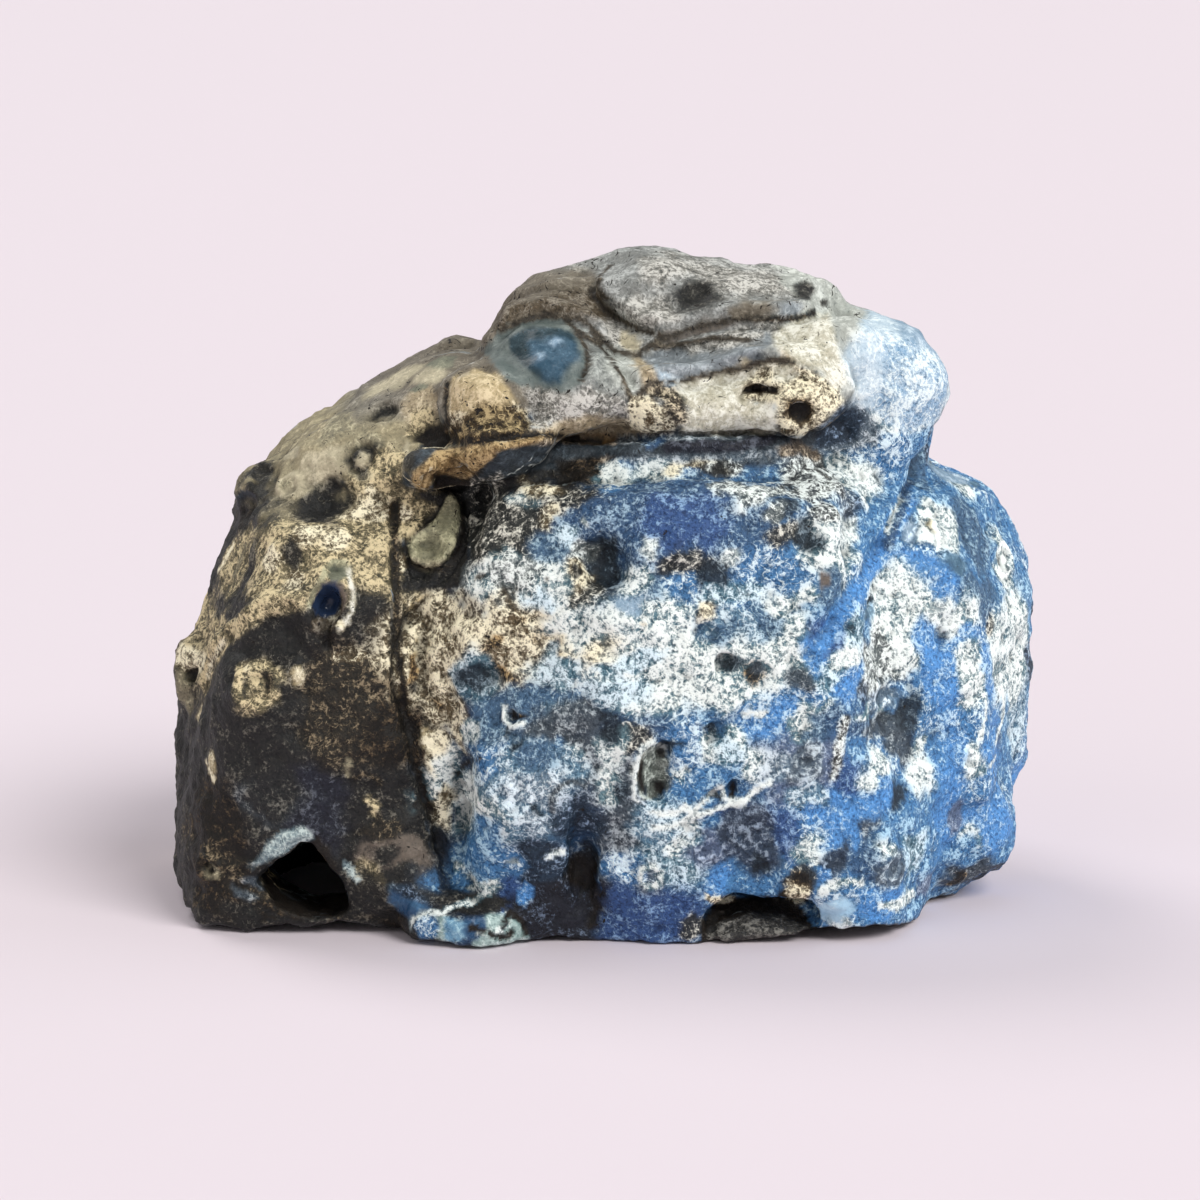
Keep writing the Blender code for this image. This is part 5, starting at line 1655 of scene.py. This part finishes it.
dice = np.random.default_rng(SEED)
away = clay.facing @ np.array(forward)
behind = np.flatnonzero((away > -0.05) & (enclosed < 7) & (z > 3))
for _ in range(BEHIND_COUNT):
    index = int(dice.choice(behind))
    place = (clay.points[index], clay.facing[index])
    width, height = dice.uniform(2, 9, 2)
    near, share = spread(swirled, place, width, height, dice.uniform(-60, 60))
    share = share + PATCH_FRAY * ragged(clay.points[near])
    finish = str(dice.choice(BEHIND_FINISHES))
    if clay.points[index][0] < EARTHY_END:
        finish = str(dice.choice(EARTHY_FINISHES))
    if cap[index] > 0.3 or clay.points[index][2] > CAP_START:
        finish = str(dice.choice(CAP_FINISHES))
    paint.lay(finish, near, fade(share, 0.4) * (away[near] > -0.15))
print("patches behind:", BEHIND_COUNT)

# %% [markdown]
# ## Dust and painted shade in the hollows
# Creases and pits hold dirt and are darkened as painted shade, and edges are rubbed pale. How deep each
# point lies below its surroundings comes from easing a copy of the stone's shape and looking at which
# way the point moved.

# %% Dust and painted shade
EASE_PASSES = 14

sunk = ((drawn_together(clay.points, EASE_PASSES) - clay.points) * clay.facing).sum(1) / MM
dust_and_shade = ramp(sunk, 0.04, 0.26)
worn = ramp(-sunk, 0.05, 0.25)
# glass and the waxy cap take less of the dirt and painted shade
crease_dirt_and_shade = dust_and_shade * (1 - paint.values[:, POLISH]) * (1 - 0.45 * cap)  # glass holds none, the waxy cap less
# painted shade: the colours in creases and pits are darkened, partly as dirt
paint.values[:, COLOURS] *= (1 - 0.6 * crease_dirt_and_shade)[:, None]
paint.values[:, COVER] += 0.05 * worn - 0.10 * dust_and_shade
print("points in creases:", int((dust_and_shade > 0.5).sum()), "on edges:", int((worn > 0.5).sum()))

# %% [markdown]
# ## Colour on the stone
# The finishes are kept on the stone's points, where the material reads them: the stone's colour and
# the crust's colour, with the painted shade and highlights laid into them, and a third set of four
# numbers for cover, specks, polish and grit.

# %% Keep the finishes on the points


def keep(name, values):
    """Puts up to four values a point into a colour attribute of the mesh."""
    layer = stone.data.color_attributes.new(name=name, type="FLOAT_COLOR", domain="POINT")
    filled = np.ones((len(values), 4))
    filled[:, : values.shape[1]] = values
    layer.data.foreach_set("color", filled.ravel())


keep("stone_colour", paint.values[:, STONE])
keep("crust_colour", paint.values[:, CRUST])
keep("cover_specks_polish_grit", paint.values[:, AMOUNTS])
print("colour sets on the points:", len(stone.data.color_attributes))

# %% [markdown]
# ## The material
# One material reads those colours and adds what is too fine for the mesh. In the shader editor that is
# a tree of small nodes. Here each call adds one node and gives its output, so that a sum of nodes
# reads like a sum.

# %% A short way to write nodes


class Graph:
    """The nodes of one material."""

    def __init__(self, tree):
        self.tree = tree

    def link(self, value, socket):
        if hasattr(value, "is_output"):
            self.tree.links.new(value, socket)
        elif value is not None:
            socket.default_value = value

    def add(self, kind, output=0, settings=None, **values):
        node = self.tree.nodes.new(kind)
        for name, value in (settings or {}).items():
            setattr(node, name, value)
        for name, value in values.items():
            place = int(name[1:]) if name[1:].isdigit() else name.replace("_", " ").title()
            self.link(value, node.inputs[place])
        return node.outputs[output]

    def math(self, operation, first, second=None):
        return self.add("ShaderNodeMath", settings={"operation": operation}, i0=first, i1=second)

    def sum(self, first, *others):
        for other in others:
            first = self.math("ADD", first, other)
        return first

    def product(self, first, second):
        return self.math("MULTIPLY", first, second)

    def apart(self, value, middle):
        """How far a value lies from the middle, to either side."""
        return self.math("ABSOLUTE", self.math("SUBTRACT", value, middle))

    def noise(self, where, size, detail=2.0, roughness=0.6, distortion=0.0):
        return self.add(
            "ShaderNodeTexNoise", vector=where, scale=1 / (size * MM), detail=detail,
            roughness=roughness, distortion=distortion,
        )

    def weigh(self, *parts):
        """Adds noises about zero, each at its own strength."""
        about_zero = [(self.math("SUBTRACT", value, 0.5), strength) for value, strength in parts]
        return self.sum(*[self.product(value, strength) for value, strength in about_zero])

    def cut(self, value, low, high, bottom=0.0, top=1.0):
        """The bottom value below low, the top value above high and a smooth step between them."""
        return self.add(
            "ShaderNodeMapRange", settings={"interpolation_type": "SMOOTHSTEP"}, value=value,
            from_min=low, from_max=high, to_min=bottom, to_max=top,
        )

    def mix(self, share, first, second, blend="MIX"):
        node = self.tree.nodes.new("ShaderNodeMix")
        node.data_type = "RGBA"
        node.blend_type = blend
        self.link(share, node.inputs[0])
        self.link(first, node.inputs[6])
        self.link(second, node.inputs[7])
        return node.outputs[2]


material = bpy.data.materials.new("chalcedony")
material.use_nodes = True
graph = Graph(material.node_tree)
shader = material.node_tree.nodes["Principled BSDF"]
print("material:", material.name, "shader:", shader.name)

# %% [markdown]
# ## Noises of the skin
# The finishes come back from the points, and six noises in the stone's own space break them up: broad
# clusters, lace, fine grain, wavy threads, dirt and long cracks. Two places a metre apart keep the
# noises from falling together.

# %% Noises of the skin
CLUSTER_SIZE = 2.8  # mm, and so are the next five
LACE_SIZE = 0.85
GRAIN_SIZE = 0.36
THREAD_SIZE = 1.5
DIRT_SIZE = 0.9
CRACK_SIZE = 3.2
ELSEWHERE = (1.3, 0.7, 2.1)

where = graph.add("ShaderNodeTexCoord", "Object")
elsewhere = graph.add("ShaderNodeVectorMath", 0, {"operation": "ADD"}, i0=where, i1=ELSEWHERE)
stone_colour = graph.add("ShaderNodeAttribute", 0, {"attribute_name": "stone_colour"})
crust_colour = graph.add("ShaderNodeAttribute", 0, {"attribute_name": "crust_colour"})
amounts = graph.add("ShaderNodeAttribute", 0, {"attribute_name": "cover_specks_polish_grit"})
grit = amounts.node.outputs["Alpha"]
cover, specks, polish = graph.add("ShaderNodeSeparateColor", i0=amounts).node.outputs

clusters = graph.noise(where, CLUSTER_SIZE, 2.0, 0.55)
lace = graph.noise(where, LACE_SIZE, 3.0, 0.7)
grain = graph.noise(elsewhere, GRAIN_SIZE, 2.0, 0.65)
threads = graph.noise(where, THREAD_SIZE, 1.0, 0.5, 0.9)
dirt = graph.noise(elsewhere, DIRT_SIZE, 2.0, 0.65)
cracks = graph.noise(elsewhere, CRACK_SIZE, 2.0, 0.6, 0.5)
print("nodes that read the skin:", len(material.node_tree.nodes))

# %% [markdown]
# ## Crust, cracks and dirt
# Noise is cut at a level that the crust's cover sets, which gives the crust its lacy edge: little cover
# leaves scattered salt, much cover leaves a crust with pinholes. Where the thread noise passes its
# middle value runs a thin line, and these lines become the crust's curls. Long cracks are found in the
# same way on smooth skin, and dark specks are cut from another noise.

# %% Crust, cracks and dirt
THREAD_WIDTH = 0.04  # in the noise's own units, and so is the next
CRACK_WIDTH = 0.022

gritty = graph.cut(grit, 0.0, 1.0, 0.25, 1.0)
lacy = graph.product(graph.weigh((lace, 1.9), (grain, 1.0)), gritty)
curl = graph.cut(graph.apart(threads, 0.5), 0.0, THREAD_WIDTH, 0.40, 0.0)
curl = graph.product(curl, graph.cut(cover, 0.18, 0.50, 0.45, 1.0))
lacy = graph.sum(lacy, graph.product(curl, gritty))
crust_level = graph.sum(lacy, graph.weigh((clusters, 1.2)), graph.math("SUBTRACT", cover, 0.54))
soft = graph.cut(grit, 0.0, 1.0, 0.42, 0.24)
crust = graph.cut(crust_level, graph.product(soft, -1.0), soft)

crack = graph.cut(graph.apart(cracks, 0.5), 0.0, CRACK_WIDTH, 0.56, 0.0)
crack = graph.product(crack, graph.cut(grit, 0.3, 0.9, 1.0, 0.0))
dirt_level = graph.sum(graph.weigh((dirt, 2.0), (grain, 0.8)), graph.math("SUBTRACT", specks, 0.66))
dirt_level = graph.sum(dirt_level, graph.product(crack, graph.cut(specks, 0.0, 0.1)))
dirt_mask = graph.cut(dirt_level, 0.0, 0.16)
print("nodes with the crust:", len(material.node_tree.nodes))

# %% [markdown]
# ## Colour, shine and bump
# The stone is grained dark and light, thin crust lets some of it through, and dirt covers both. The
# stone shines where it is bare and the crust is dry. The bump carries only the finest grain: what is
# larger is in the mesh.

# %% Colour, shine and bump
DARK_GRAIN = (0.36, 0.41, 0.45, 1)  # what the stone's colour is multiplied by
LIGHT_GRAIN = (1.9, 1.75, 1.6, 1)
DIRT_COLOUR = (0.014, 0.011, 0.009, 1)
SHEEN = 0.28
BUMP_HEIGHT = 0.22 * MM

tone = graph.product(graph.weigh((grain, 2.2), (lace, 1.0)), gritty)
darker = graph.mix(1.0, stone_colour, DARK_GRAIN, "MULTIPLY")
lighter = graph.mix(1.0, stone_colour, LIGHT_GRAIN, "MULTIPLY")
grained = graph.mix(graph.cut(tone, -0.45, 0.02, 1.0, 0.0), stone_colour, darker)
grained = graph.mix(graph.cut(tone, 0.08, 0.6), grained, lighter)
thin_crust = graph.mix(0.5, crust_colour, grained)
thick = graph.cut(graph.sum(crust_level, graph.product(tone, 0.5)), 0.0, 0.40)
crust_shade = graph.mix(thick, thin_crust, crust_colour)
colour = graph.mix(crust, grained, crust_shade)
graph.link(graph.mix(dirt_mask, colour, DIRT_COLOUR), shader.inputs["Base Color"])

rough_stone = graph.cut(polish, 0.0, 1.0, 0.60, 0.14)
graph.link(graph.sum(rough_stone, graph.product(crust, 0.22)), shader.inputs["Roughness"])
shader.inputs["Specular IOR Level"].default_value = SHEEN

height = graph.sum(graph.product(crust, 0.5), graph.weigh((lace, 0.7), (grain, 0.9)))
height = graph.math("SUBTRACT", height, graph.product(dirt_mask, 0.4))
height = graph.product(height, graph.cut(grit, 0.0, 1.0, 0.12, 1.0))
bump = graph.add("ShaderNodeBump", strength=0.8, distance=BUMP_HEIGHT, height=height)
graph.link(bump, shader.inputs["Normal"])

stone.data.materials.clear()
stone.data.materials.append(material)
print("shader nodes:", len(material.node_tree.nodes))

# %% [markdown]
# ## Hand over
# The finished stone rides on the imported part's root and stands in for its node, which is hidden.

# %% Ride and replace
stone.select_set(False)
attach(stone, "root")
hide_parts("geode")
